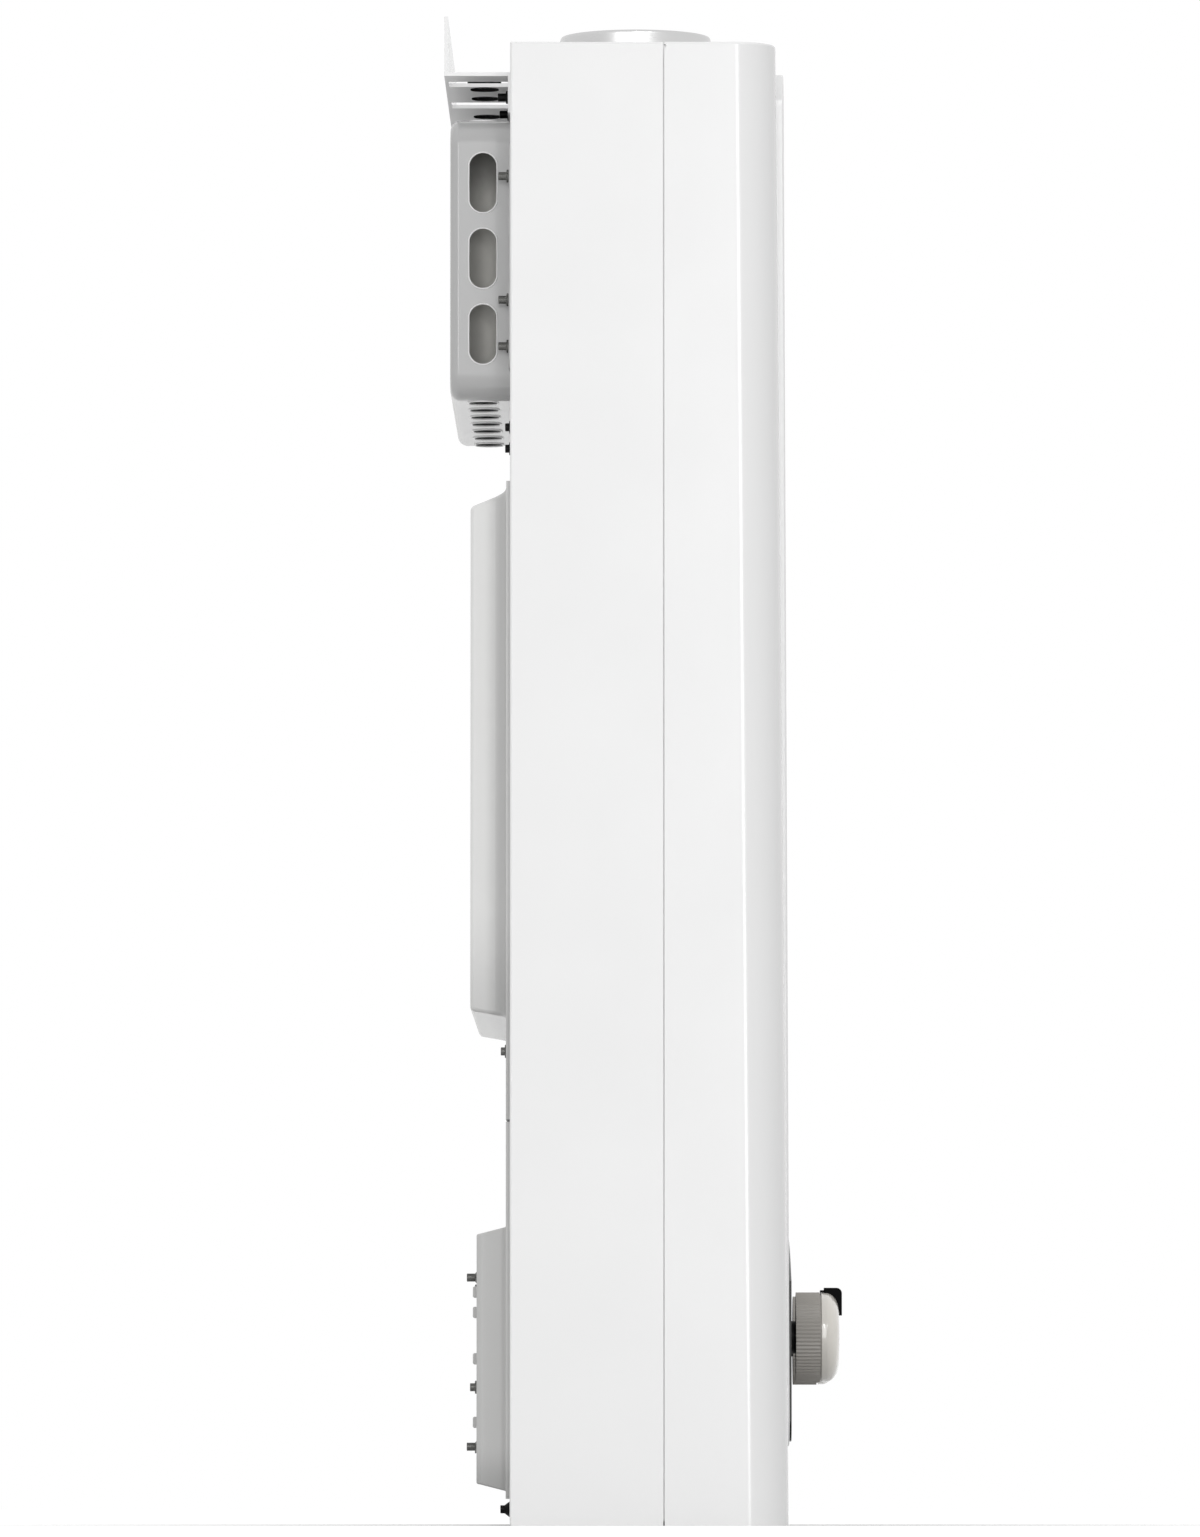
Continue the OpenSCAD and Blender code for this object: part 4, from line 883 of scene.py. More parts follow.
# The knobs' caps: paler, and lacquered, so that the lamps show as small glints
CAP = MouldedPlastic(
    "cap_satin_abs",
    "E6E2DA",
    "knob_cap",
    roughness=0.24,
    grain_mm=0.9,
    grain_depth=0.004,
    coat=0.9,
)
# Black ABS of the pointers, and black nylon of the hubs: deep black, almost without gloss
POINTER_BLACK = MouldedPlastic(
    "pointer_black_abs", "030303", "dark_plastic", roughness=0.3, gloss=0.04
)
HUB_BLACK = MouldedPlastic("hub_black_nylon", "060606", "dark_plastic", roughness=0.45, gloss=0.15)
# White ink of the dial marks: thin and matt
DIAL_INK = MouldedPlastic(
    "white_dial_ink", "D8D8D8", "panel_white", roughness=0.5, grain_mm=0.6, grain_depth=0.003
)
# Bright drawn steel of the flue collar, with marks that run round it
COLLAR_STEEL = WorkedMetal(
    "bright_drawn_steel",
    "CFCFCF",
    "flue_steel",
    roughness=0.3,
    stretch=(0.05, 0.05, 1.0),
    mark_mm=0.35,
    stain=0.04,
)
# Zinc-coated sheet inside the case: pale crystals, some duller than others
ZINC = ZincSheet("zinc_coated_sheet", "B9BBBB", "sheet_steel", roughness=0.38)
# Nickel plate on the screws of the back, its colour darker than nickel as a painted dark
# reflection: grey, with small bright spots
SCREW_ZINC = WorkedMetal(
    "nickel_plated_steel", "5E5E5C", "screw_steel", roughness=0.26, mark_mm=0.3, stain=0.1
)
# Black oxide on the other screws: dark, with an oily sheen
BLACK_OXIDE = WorkedMetal(
    "black_oxide_steel", "1A1A1A", "black_steel", roughness=0.36, mark_mm=0.4, stain=0.1
)
# Drawn copper of the exchanger and the pipes: warm, with broad heat stains
COPPER = WorkedMetal(
    "drawn_copper", "C67B52", "copper", roughness=0.26, mark_mm=0.8, stain=0.22, stain_mm=18
)
# Cast brass of valves and fittings: dull yellow, with the mould's coarse skin
BRASS = WorkedMetal(
    "cast_brass",
    "C2A35C",
    "brass",
    roughness=0.36,
    mark_mm=0.9,
    mark_depth=0.05,
    stain=0.14,
    stain_mm=9,
)
# Machined steel of the manifold and the small moving pieces: fine even marks
STEEL = WorkedMetal(
    "machined_steel", "A9AAAA", "screw_steel", roughness=0.28, mark_mm=0.5, stain=0.08
)
# Phosphated steel of motor and coil: dark and half matt
DARK_STEEL = WorkedMetal(
    "dark_phosphated_steel", "55565A", "black_steel", roughness=0.45, mark_mm=0.7, stain=0.15
)
# Glazed ceramic of the electrodes: smooth and off-white
CERAMIC = MouldedPlastic(
    "glazed_ceramic", "E6E2D8", "ceramic", roughness=0.18, grain_mm=1.5, coat=0.5
)
# Moulded rubber of the diaphragm: matt black
RUBBER = MouldedPlastic(
    "black_rubber", "0D0D0D", "rubber", roughness=0.65, grain_mm=0.6, grain_depth=0.04
)
# ABS of the boxes, the switch and the gland: an even moulded grain
GREY_ABS = MouldedPlastic(
    "grey_abs_box", "9D9D9A", "grey_plastic", roughness=0.5, grain_mm=0.8, grain_depth=0.04
)
BLACK_ABS = MouldedPlastic("black_abs_part", "0F0F0F", "dark_plastic", roughness=0.45, grain_mm=0.7)


def wear(piece: Piece, finish: Finish) -> None:
    """Gives a whole piece one finish.

    Args:
        piece: The piece.
        finish: Its finish.
    """
    made = finish.material()
    if piece.data.materials:
        for i in range(len(piece.data.materials)):
            piece.data.materials[i] = made
    else:
        piece.data.materials.append(made)


def paint_faces(piece: Piece, finish: Finish, test: PairTest) -> None:
    """Gives the faces that pass a test one more finish.

    Args:
        piece: The piece.
        finish: The faces' finish.
        test: Takes a face's middle, in mm, and its normal.
    """
    index = len(piece.data.materials)
    piece.data.materials.append(finish.material())
    for face in piece.data.polygons:
        if test(face.center / MM, face.normal):
            face.material_index = index


def hand_over(piece: Piece, finish: Finish, body: str, *nodes: str, slot: str = "") -> None:
    """Finishes a piece: its material, the body that it rides on and the nodes that it stands for.

    Args:
        piece: The piece.
        finish: Its finish.
        body: The body that it rides on.
        nodes: The nodes that it replaces.
        slot: The record's material slot, where it isn't the finish's own; not used.
    """
    wear(piece, finish)
    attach(piece, body)
    if nodes:
        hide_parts(*nodes)
    LOG.info("%s rides on %s", piece.name, body)


def low_high(node: str) -> tuple[Vector, Vector]:
    """A node's lowest and highest corner, in mm."""
    low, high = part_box(node)
    return low / MM, high / MM


# Sub-assemblies


@dataclass
class CaseShell:
    """The sheet-metal case: rear chassis and front cover, each with its folded edges."""

    fold_r: float = 1.1
    height: float = 580.0
    half_w: float = 165.0
    hole_half_w: float = 36.0
    front_y: float = -30.0

    def build(self) -> None:
        """Builds both shells."""
        self._chassis()
        self._cover()

    def _chassis(self) -> None:
        """The rear chassis, folded along its back edges and its top."""
        rear = low_high("rear_chassis")[1].y * MM
        side, top = self.half_w * MM, self.height * MM

        def fold(a: Vector, b: Vector) -> bool:
            """Whether both ends of an edge lie on two of the back, the sides and the top."""
            at_back = near(a.y, rear) and near(b.y, rear)
            at_side = near(abs(a.x), side) and near(abs(b.x), side)
            at_top = near(a.z, top) and near(b.z, top)
            return at_back + at_side + at_top > 1

        piece = traced("rear_chassis", "chassis_shell")
        round_edges(piece, self.fold_r, fold)
        hand_over(smooth(piece), CASE_WHITE, CASE_BODY, "rear_chassis")

    def _cover(self) -> None:
        """The front cover, folded along its top."""
        seam = low_high("front_cover")[1].y * MM
        side, top = self.half_w * MM, self.height * MM

        def fold(a: Vector, b: Vector) -> bool:
            """Whether an edge lies on the top's outline, off the seam and the flue's hole."""
            ends = (a, b)
            return (
                all(near(p.z, top) for p in ends)
                and not all(abs(p.x) < self.hole_half_w * MM for p in ends)
                and all(p.y < seam - SAME or abs(p.x) > side - SAME for p in ends)
                and all(near(abs(p.x), side) or p.y < self.front_y * MM for p in ends)
            )

        piece = traced("front_cover", "cover_shell")
        round_edges(piece, self.fold_r, fold)
        hand_over(smooth(piece), CASE_WHITE, CASE_BODY, "front_cover")


@dataclass
class FrontPanel:
    """The raised front, the black control panel and the dial marks."""

    rim_r: float = 1.3
    control_r: float = 0.7
    hub_r: float = 9.0
    face_y: float = -58.05
    marks: int = 11
    mark_r: float = 22.0
    mark_l: float = 2.0
    mark_growth: float = 2.4
    mark_half_w: float = 0.45
    mark_taper: float = 0.55
    mark_depth: Span = (-0.06, 0.02)
    mark_edge_r: float = 0.2

    def build(self) -> None:
        """Builds the pieces of the front."""
        for node, name, radius, finish in (
            ("front_panel", "front_raised_panel", self.rim_r, PANEL_WHITE),
            ("control_panel", "control_plate", self.control_r, CONTROL_BLACK),
        ):
            piece = traced(node, name)
            self._round_rim(piece, radius)
            hand_over(smooth(piece), finish, CASE_BODY, node)
        hand_over(self._dial_marks(), DIAL_INK, CASE_BODY)

    def _dial_marks(self) -> Piece:
        """Plain strokes round both knobs, each longer than the one before."""
        made = []
        for x in (-KNOB_X, KNOB_X):
            for i in range(self.marks):
                turn = math.radians(-KNOB_SWEEP + 2 * KNOB_SWEEP * i / (self.marks - 1))
                end = self.mark_r + self.mark_l + self.mark_growth * i / (self.marks - 1)
                stroke = block(
                    "stroke",
                    (-self.mark_half_w, self.mark_half_w),
                    self.mark_depth,
                    (self.mark_r, end),
                )
                with editing(stroke):
                    pick(stroke, Kind.POINTS, lambda p: p.z > (self.mark_r + 0.1) * MM)
                    bpy.ops.transform.resize(value=(self.mark_taper, 1, 1))
                round_edges(stroke, self.mark_edge_r, lambda a, b: not near(a.y, b.y), 2)
                stroke.rotation_euler = (0, turn, 0)
                stroke.location = Vector((x, self.face_y, KNOB_Z)) * MM
                bake_place(stroke)
                made.append(stroke)
        return join(made, "dial_marks")

    def _round_rim(self, piece: Piece, radius: float) -> None:
        """Rounds the edge between a plate's front face and its side wall.

        Args:
            piece: The plate.
            radius: The rounding's size, in mm.
        """
        with editing(piece):
            bpy.ops.mesh.select_mode(type="EDGE")
            mesh = bmesh.from_edit_mesh(piece.data)
            for edge in mesh.edges:
                fronts = [f.normal.y < -SQUARE for f in edge.link_faces]
                walls = [abs(f.normal.y) < ALONG for f in edge.link_faces]
                middle = (edge.verts[0].co + edge.verts[1].co) / 2
                hub = min(
                    math.hypot(middle.x - x * MM, middle.z - KNOB_Z * MM)
                    for x in (-KNOB_X, KNOB_X)
                )
                if len(fronts) == 2 and any(fronts) and any(walls) and hub > self.hub_r * MM:
                    edge.select_set(True)
            bmesh.update_edit_mesh(piece.data)
            bpy.ops.mesh.bevel(offset=radius * MM, segments=4, affect="EDGES", clamp_overlap=True)


@dataclass
class Knob:
    """One knob: fluted grip, domed cap and pointer."""

    name: str
    x: float
    pointer_w: float = 4.2
    toe_y: Span = (-72.0, -70.2)
    toe_z: Span = (92.85, 93.55)
    toe_edge_r: float = 0.2

    def build(self) -> None:
        """Builds the knob's pieces."""
        body = f"{self.name}_knob"
        for part, finish in (("grip", GRIP), ("cap", CAP), ("pointer", POINTER_BLACK)):
            name = f"{self.name}_{part}_piece"
            piece = traced(f"{body}_{part}", name)
            if part == "pointer":
                piece = join([piece, self._toe()], name)
            hand_over(smooth(piece), finish, body, f"{body}_{part}")

    def _toe(self) -> Piece:
        """The thin toe that runs back from the pointer over the groove."""
        half = self.pointer_w / 2
        toe = block("pointer_toe", (self.x - half, self.x + half), self.toe_y, self.toe_z)
        top = (self.toe_z[1] - 0.05) * MM
        round_edges(toe, self.toe_edge_r, lambda a, b: min(a.z, b.z) > top)
        return toe


@dataclass
class FlueCollar:
    """The flue collar: a drawn steel tube with a rolled bead at its mouth."""

    radius: float = 30.5
    wall: float = 1.0
    flange_w: float = 9.5
    flange_t: float = 1.2
    flange_top: float = 577.7

    def build(self) -> None:
        """Builds the collar: its section drawn out from one point and spun round its axis."""
        low, high = low_high("flue_collar")
        start = Vector((0, (low.y + high.y) / 2, 0)) * MM
        places = [start + Vector((r, 0, z)) * MM for r, z in self._section(low.z, high.z)]
        deselect_all()
        bpy.ops.mesh.primitive_plane_add(size=MM, location=places[0])
        piece = bpy.context.object
        piece.name = "collar_tube"
        bake_place(piece)
        with editing(piece):
            bpy.ops.mesh.select_mode(type="VERT")
            bpy.ops.mesh.select_all(action="SELECT")
            bpy.ops.mesh.merge(type="CENTER")
            for before, after in zip(places, places[1:]):
                bpy.ops.mesh.extrude_region_move(TRANSFORM_OT_translate={"value": after - before})
            bpy.ops.mesh.select_all(action="SELECT")
            bpy.ops.mesh.spin(
                steps=96, angle=2 * math.pi, center=start, axis=(0, 0, 1), use_normal_flip=False
            )
            bpy.ops.mesh.select_all(action="SELECT")
            bpy.ops.mesh.remove_doubles(threshold=MERGE)
            bpy.ops.mesh.normals_make_consistent(inside=False)
        hand_over(smooth(piece), COLLAR_STEEL, CASE_BODY, "flue_collar")

    def _section(self, low: float, top: float) -> list[tuple[float, float]]:
        """The closed line round the collar's wall.

        Args:
            low: Its low end, in mm.
            top: Its high end, in mm.

        Returns:
            Pairs of radius and height, in mm.
        """
        r, w, flange = self.radius, self.wall, self.flange_top
        return [
            (r - w, low),
            (r, low),
            (r, flange - self.flange_t),
            (r + self.flange_w, flange - self.flange_t),
            (r + self.flange_w, flange),
            (r, flange),
            # The bead at the mouth
            (r, top - 1.2),
            (r - 0.15, top - 0.5),
            (r - 0.5, top),
            (r - w + 0.1, top - 0.2),
            (r - w, top - 0.8),
            (r - w, low),
        ]


@dataclass
class AirHood:
    """The hood over the air intake, with rolled lips round its slots and baffles inside."""

    half_w: float = 112.0
    low_z: float = 444.5
    top_z: float = 556.0
    reach: float = 24.3
    corner_r: float = 11.0
    edge_r: float = 4.0
    sheet_t: float = 1.0
    flange_w: float = 16.0
    flange_r: float = 4.0
    flange_edge_r: float = 0.3
    flange_lap: float = 0.6
    side_slot_l: float = 24.1
    slot_w: float = 11.3
    side_slot_pitch: float = 30.1
    slot_reach: float = 11.3
    under_slot_l: float = 16.0
    under_slot_pitch: float = 31.5
    side_bead: float = 0.32
    under_bead: float = 0.45
    under_bead_off: float = 0.2
    baffle_x: float = 96.0
    baffle_gaps: Span = (0.3, 0.2)
    baffle_rows: int = 8
    baffle_row: float = 2.8
    baffle_bend: float = 0.36
    gauze_gap: float = 2.6
    gauze_t: float = 0.8
    gauze_margins: Span = (12.0, 2.5)
    gauze_frame_w: float = 1.5
    gauze_sunk: float = 0.2

    def build(self) -> None:
        """Builds the hood, its lips, the baffles and the gauze."""
        shell = self._shell()
        self._cut_slots(shell)
        hood = smooth(join([shell, *self._flanges()], "hood_shell"), 40)
        hand_over(hood, HOOD_GREY, CASE_BODY, "air_hood")
        walls = (self.low_z + self.sheet_t / 2, self.top_z - self.sheet_t / 2)
        # The slot walls are painted near black: painted shade inside the slots
        paint_faces(
            hood,
            SLOT_WALL_SHADE,
            lambda p, n: abs(p.y - BACK_Y - self.slot_reach) < self.slot_w / 2 + 0.2
            and abs(n.z) < ALONG
            and any(abs(p.z - wall) < 0.3 for wall in walls),
        )
        # The lips are paler than the hood: painted highlight on the rims
        lips = smooth(join(self._lips(), "hood_slot_lips"), 60, weighted=False)
        hand_over(lips, LIP_GREY, CASE_BODY)
        # The baffle darkens toward the rear and the top: painted shade inside the hood
        hand_over(smooth(self._baffles()), BAFFLE_ZINC, CASE_BODY)
        # The near-black gauze stands in for the shade inside the hood's slots
        hand_over(smooth(self._gauze()), BLACK_SHADE_BACKING, CASE_BODY)

    def _shell(self) -> Piece:
        """The hood's rounded box, open to the case."""
        rear = BACK_Y + self.reach
        shell = block(
            "hood_box", (-self.half_w, self.half_w), (BACK_Y, rear), (self.low_z, self.top_z)
        )
        with editing(shell):
            pick(shell, Kind.EDGES, lambda a, b: abs(a.y - b.y) > 0.01)
            bpy.ops.mesh.bevel(offset=self.corner_r * MM, segments=10, affect="EDGES")
            pick(shell, Kind.EDGES, lambda a, b: min(a.y, b.y) > (rear - 0.05) * MM)
            bpy.ops.mesh.bevel(offset=self.edge_r * MM, segments=8, affect="EDGES")
            pick(shell, Kind.FACES, lambda p, n: n.y < -SQUARE)
            bpy.ops.mesh.delete(type="FACE")
        use_modifier(shell, "SOLIDIFY", thickness=self.sheet_t * MM, offset=-1.0)
        return shell

    def _side_slots(self, x: float) -> list[Slot]:
        """The upright slots of one side.

        Args:
            x: Their middle from left to right, in mm.

        Returns:
            The slots.
        """
        y, middle = BACK_Y + self.slot_reach, (self.low_z + self.top_z) / 2
        straight = self.side_slot_l - self.slot_w
        return [
            Slot((x, y, middle + i * self.side_slot_pitch), Through.SIDE, straight, self.slot_w / 2)
            for i in (-1, 0, 1)
        ]

    def _under_slots(self, z: float) -> list[Slot]:
        """The slots of the underside or the top.

        Args:
            z: Their middle's height, in mm.

        Returns:
            The slots.
        """
        y, straight = BACK_Y + self.slot_reach, self.under_slot_l - self.slot_w
        return [
            Slot((i * self.under_slot_pitch, y, z), Through.UP, straight, self.slot_w / 2)
            for i in range(-3, 4)
        ]

    def _cut_slots(self, shell: Piece) -> None:
        """Cuts the upright slots of both sides, then those of the underside and the top.

        Args:
            shell: The hood's box.
        """
        width, height = 2.2 * self.half_w, 1.2 * (self.top_z - self.low_z)
        sides = [slot.cutter(width) for slot in self._side_slots(0)]
        middle = (self.low_z + self.top_z) / 2
        unders = [slot.cutter(height) for slot in self._under_slots(middle)]
        for cutters in (sides, unders):
            combine(shell, join(cutters, "slot_tool"))

    def _flanges(self) -> list[Piece]:
        """The two screw flanges beside the hood."""
        made = []
        for side in (-1, 1):
            far = side * (self.half_w + self.flange_w)
            plate = block(
                "hood_flange",
                tuple(sorted((side * (self.half_w - self.flange_lap), far))),
                (BACK_Y, BACK_Y + self.sheet_t),
                (self.low_z + self.corner_r, self.top_z - self.corner_r),
            )
            round_edges(
                plate,
                self.flange_r,
                lambda a, b: not near(a.y, b.y) and near(a.x, far * MM),
                5,
            )
            round_edges(
                plate,
                self.flange_edge_r,
                lambda a, b: near(a.y, b.y) and not near(a.y, BACK_Y * MM),
                2,
            )
            made.append(plate)
        return made

    def _lips(self) -> list[Piece]:
        """The rolled lips of all slots."""
        made = []
        for x in (-self.half_w, self.half_w):
            made += [slot.lip(self.side_bead) for slot in self._side_slots(x)]
        for z in (self.low_z, self.top_z):
            made += [
                slot.lip(self.under_bead, self.under_bead_off) for slot in self._under_slots(z)
            ]
        return made

    def _baffles(self) -> Piece:
        """Two upright baffles that turn the air behind the side slots."""
        front_gap, rear_gap = self.baffle_gaps
        made = []
        for side in (-1, 1):
            plate = block(
                "baffle",
                tuple(sorted((side * self.baffle_x, side * (self.baffle_x - self.sheet_t)))),
                (BACK_Y + front_gap, BACK_Y + self.reach - self.sheet_t - rear_gap),
                (self.low_z + self.corner_r, self.top_z - self.corner_r),
            )
            # Curved like a trough, so that its tone changes from rear to front
            with editing(plate):
                for row in range(1, self.baffle_rows):
                    bpy.ops.mesh.select_all(action="SELECT")
                    cut = (BACK_Y + self.baffle_row * row) * MM
                    bpy.ops.mesh.bisect(plane_co=(0, cut, 0), plane_no=(0, 1, 0))
                for row in range(1, self.baffle_rows + 1):
                    beyond = (BACK_Y + self.baffle_row * (row - 0.5)) * MM
                    pick(plate, Kind.POINTS, lambda p: p.y > beyond)
                    push = side * self.baffle_bend * row * MM
                    bpy.ops.transform.translate(value=(push, 0, 0))
            made.append(plate)
        return join(made, "hood_baffle")

    def _gauze(self) -> Piece:
        """Strips of gauze in frames inside the underside and the top, behind their slots, near
        black as painted shade.
        """
        near_side, far_side = self.gauze_gap, self.gauze_gap + self.gauze_t
        half = self.half_w - self.gauze_margins[0]
        y = (BACK_Y + self.gauze_margins[1], BACK_Y + self.reach - self.gauze_margins[1])
        made = []
        for z in (
            (self.low_z + near_side, self.low_z + far_side),
            (self.top_z - far_side, self.top_z - near_side),
        ):
            strip = block("gauze", (-half, half), y, z)
            with editing(strip):
                pick(strip, Kind.FACES, lambda p, n: abs(n.z) > SQUARE)
                bpy.ops.mesh.inset(
                    thickness=self.gauze_frame_w * MM, depth=-self.gauze_sunk * MM
                )
            made.append(strip)
        return join(made, "hood_gauze")


@dataclass(frozen=True)
class Pressing:
    """A sheet with one bulge pressed out of it to the rear.

    z and half_w are the bulge's ends at the sheet, foot_share is the share of its reach that the
    steep foot takes, draws is how far each side has drawn in at the top of the foot and at the
    bulge's face, and the drafts are how far its lower and upper side draw in.
    """

    name: str
    node: str
    z: Span
    half_w: float
    reach: float
    foot_share: float
    draws: Span
    low_draft: float
    top_draft: float
    edge_r: float


MIDDLE = Pressing(
    name="middle_panel_sheet",
    node="rear_panel",
    z=(199.0, 406.6),
    half_w=134.0,
    reach=15.9,
    foot_share=0.32,
    draws=(3.8, 4.8),
    low_draft=2.8,
    top_draft=6.4,
    edge_r=2.2,
)
LOWER = Pressing(
    name="lower_panel_sheet",
    node="lower_rear_cover",
    z=(13.5, 116.7),
    half_w=142.0,
    reach=13.2,
    foot_share=0.86,
    draws=(1.3, 2.1),
    low_draft=2.9,
    top_draft=2.9,
    edge_r=0.6,
)


@dataclass
class RearPanels:
    """The two pressed panels that close the back."""

    sheet_t: float = 1.6
    clip_x: Span = (122.5, 128.8)
    clip_t: float = 1.6
    clip_half_h: float = 2.2
    clip_edge_r: float = 0.6
    clip_shares: tuple[float, ...] = (0.755, 0.678, 0.502, 0.261)

    def build(self) -> None:
        """Builds both panels."""
        # The middle panel's paler paint is a painted highlight; both panels carry painted shade
        # toward their lower ends
        middle = self._pressed(MIDDLE)
        hand_over(smooth(middle), MIDDLE_GREY, CASE_BODY, MIDDLE.node)
        lower = join([self._pressed(LOWER), *self._clips()], LOWER.name)
        hand_over(smooth(lower), REAR_GREY, CASE_BODY, LOWER.node)

    def _pressed(self, form: Pressing) -> Piece:
        """One pressed sheet.

        Args:
            form: Its form.

        Returns:
            The new object.
        """
        low, high = low_high(form.node)
        outer_y = BACK_Y + self.sheet_t
        bottom, top, half_w = form.z[0] * MM, form.z[1] * MM, form.half_w * MM
        deselect_all()
        bpy.ops.mesh.primitive_plane_add(
            size=1,
            location=(0, outer_y * MM, MM * (low.z + high.z) / 2),
            rotation=(-math.pi / 2, 0, 0),
        )
        piece = bpy.context.object
        piece.name = form.name
        piece.scale = ((high.x - low.x) * MM, (high.z - low.z) * MM, 1)
        bake_place(piece)
        cuts = [((-half_w, 0, 0), (1, 0, 0)), ((half_w, 0, 0), (1, 0, 0))]
        for place in form.z:
            if low.z + 0.01 < place < high.z - 0.01:
                cuts.append(((0, 0, place * MM), (0, 0, 1)))
        with editing(piece):
            for place, normal in cuts:
                bpy.ops.mesh.select_all(action="SELECT")
                bpy.ops.mesh.bisect(plane_co=place, plane_no=normal)
            pick(
                piece, Kind.FACES, lambda p, n: abs(p.x) < half_w * 0.5 and bottom < p.z < top
            )
            foot = form.reach * form.foot_share
            before = self.sheet_t
            for out, draw, share in (
                (foot, form.draws[0], foot / form.reach),
                (form.reach, form.draws[1], 1.0),
            ):
                bpy.ops.mesh.extrude_region_move(
                    TRANSFORM_OT_translate={"value": (0, (out - before) * MM, 0)}
                )
                before = out
                x, y = (form.half_w - draw) * MM, (BACK_Y + out) * MM
                ends = (form.z[0] + form.low_draft * share, form.z[1] - form.top_draft * share)
                fit_selected(piece, (-x, x), (y, y), (ends[0] * MM, ends[1] * MM))
            pick(
                piece,
                Kind.EDGES,
                lambda a, b: max(a.y, b.y) > (outer_y + 0.1) * MM
                or all(
                    abs(p.x) < half_w + SAME and bottom - SAME < p.z < top + SAME for p in (a, b)
                ),
            )
            bpy.ops.mesh.bevel(
                offset=form.edge_r * MM, segments=5, affect="EDGES", clamp_overlap=True
            )
            bpy.ops.mesh.select_all(action="SELECT")
            bpy.ops.mesh.normals_make_consistent(inside=False)
            if sum(f.normal.y for f in bmesh.from_edit_mesh(piece.data).faces) < 0:
                bpy.ops.mesh.flip_normals()
        use_modifier(piece, "SOLIDIFY", thickness=self.sheet_t * MM, offset=-1.0)
        return piece

    def _clips(self) -> list[Piece]:
        """The small pressed clips on the lower bulge's face."""
        made = []
        face = BACK_Y + LOWER.reach
        for share in self.clip_shares:
            z = LOWER.z[0] + share * (LOWER.z[1] - LOWER.z[0])
            clip = block(
                "clip",
                self.clip_x,
                (face - 0.1, face + self.clip_t),
                (z - self.clip_half_h, z + self.clip_half_h),
            )
            outside = (face + self.clip_t - 0.1) * MM
            round_edges(clip, self.clip_edge_r, lambda a, b: min(a.y, b.y) > outside)
            made += [clip, mirrored(clip)]
        return made


@dataclass
class Fasteners:
    """The screws, each with a rounded head and a cross recess."""

    edge_r: float = 0.3
    cross_l: float = 2.1
    cross_w: float = 0.5
    cross_depth: float = 0.8

    def build(self) -> None:
        """Builds the four groups of screws."""
        for node, finish in (
            ("hood_screws", SCREW_ZINC),
            ("rear_screws", SCREW_ZINC),
            ("bracket_screws", BLACK_OXIDE),
            ("case_screws", BLACK_OXIDE),
        ):
            piece = traced(node, f"{node}_set")
            heads = self._heads(piece)
            soften(piece, self.edge_r, 3, SHARP)
            combine(piece, join([self._cross(place) for place in heads], "cross_tool"))
            hand_over(smooth(piece), finish, CASE_BODY, node)

    def _heads(self, piece: Piece) -> list[Vector]:
        """The middles of the head faces, the outermost one of each screw.

        Args:
            piece: A set of screws that point to the rear.

        Returns:
            The middles, in metres.
        """
        # Faces in the same square of 2 mm belong to the same screw
        squares = 500
        found: dict[tuple[int, int], Vector] = {}
        for face in piece.data.polygons:
            if face.normal.y > SQUARE:
                key = (round(face.center.x * squares), round(face.center.z * squares))
                if key not in found or face.center.y > found[key].y:
                    found[key] = face.center.copy()
        return list(found.values())

    def _cross(self, place: Vector) -> Piece:
        """The tool for one cross recess.

        Args:
            place: The middle of the screw's head face, in metres.

        Returns:
            The new object.
        """
        x, y, z = place / MM
        half, w = self.cross_l / 2, self.cross_w / 2
        depth = (y - self.cross_depth, y + 0.5)
        tool = block("bar", (x - half, x + half), depth, (z - w, z + w))
        combine(tool, block("bar", (x - w, x + w), depth, (z - half, z + half)), "UNION")
        return tool


@dataclass
class WallBracket:
    """The bracket on the back: softened folds, painted shade on its underside and slot walls, a
    near-black pad behind its slots as painted shade.
    """

    fold_r: float = 0.35
    slot_y: float = 63.55
    slots_x: tuple[float, ...] = (31.5, 63.0)
    slot_half_w: float = 8.5
    slot_half_d: float = 6.5
    shelf_z: Span = (573.1, 574.4)
    pad_x: Span = (21.5, 71.8)
    pad_reach: Span = (4.6, 18.0)
    pad_z: Span = (574.6, 575.3)
    pad_rim_w: float = 0.8
    pad_crown: float = 0.15

    def build(self) -> None:
        """Builds the bracket and its pads."""
        piece = traced("wall_bracket", "bracket_sheet")
        soften(piece, self.fold_r, 2, SHARP)
        hand_over(smooth(piece), CASE_WHITE, CASE_BODY, "wall_bracket")
        # Downward faces get a duller grey: painted shade under the shelf
        paint_faces(piece, UNDERSIDE_SHADE_GREY, lambda p, n: n.z < -0.5)
        # The slot walls are painted near black: painted shade inside the slots
        paint_faces(
            piece,
            SLOT_WALL_SHADE,
            lambda p, n: abs(n.z) < ALONG
            and self.shelf_z[0] < p.z < self.shelf_z[1]
            and abs(p.y - self.slot_y) < self.slot_half_d
            and any(abs(abs(p.x) - x) < self.slot_half_w for x in self.slots_x),
        )
        # Near-black pads above the slots: painted shade behind them
        pads = []
        for side in (-1, 1):
            pad = block(
                "bracket_pad",
                tuple(sorted(side * x for x in self.pad_x)),
                (BACK_Y + self.pad_reach[0], BACK_Y + self.pad_reach[1]),
                self.pad_z,
            )
            with editing(pad):
                pick(pad, Kind.FACES, lambda p, n: n.z > SQUARE)
                bpy.ops.mesh.inset(
                    thickness=self.pad_rim_w * MM, depth=self.pad_crown * MM
                )
            pads.append(pad)
        hand_over(smooth(join(pads, "bracket_pads")), BLACK_SHADE_BACKING, CASE_BODY, slot="rubber")


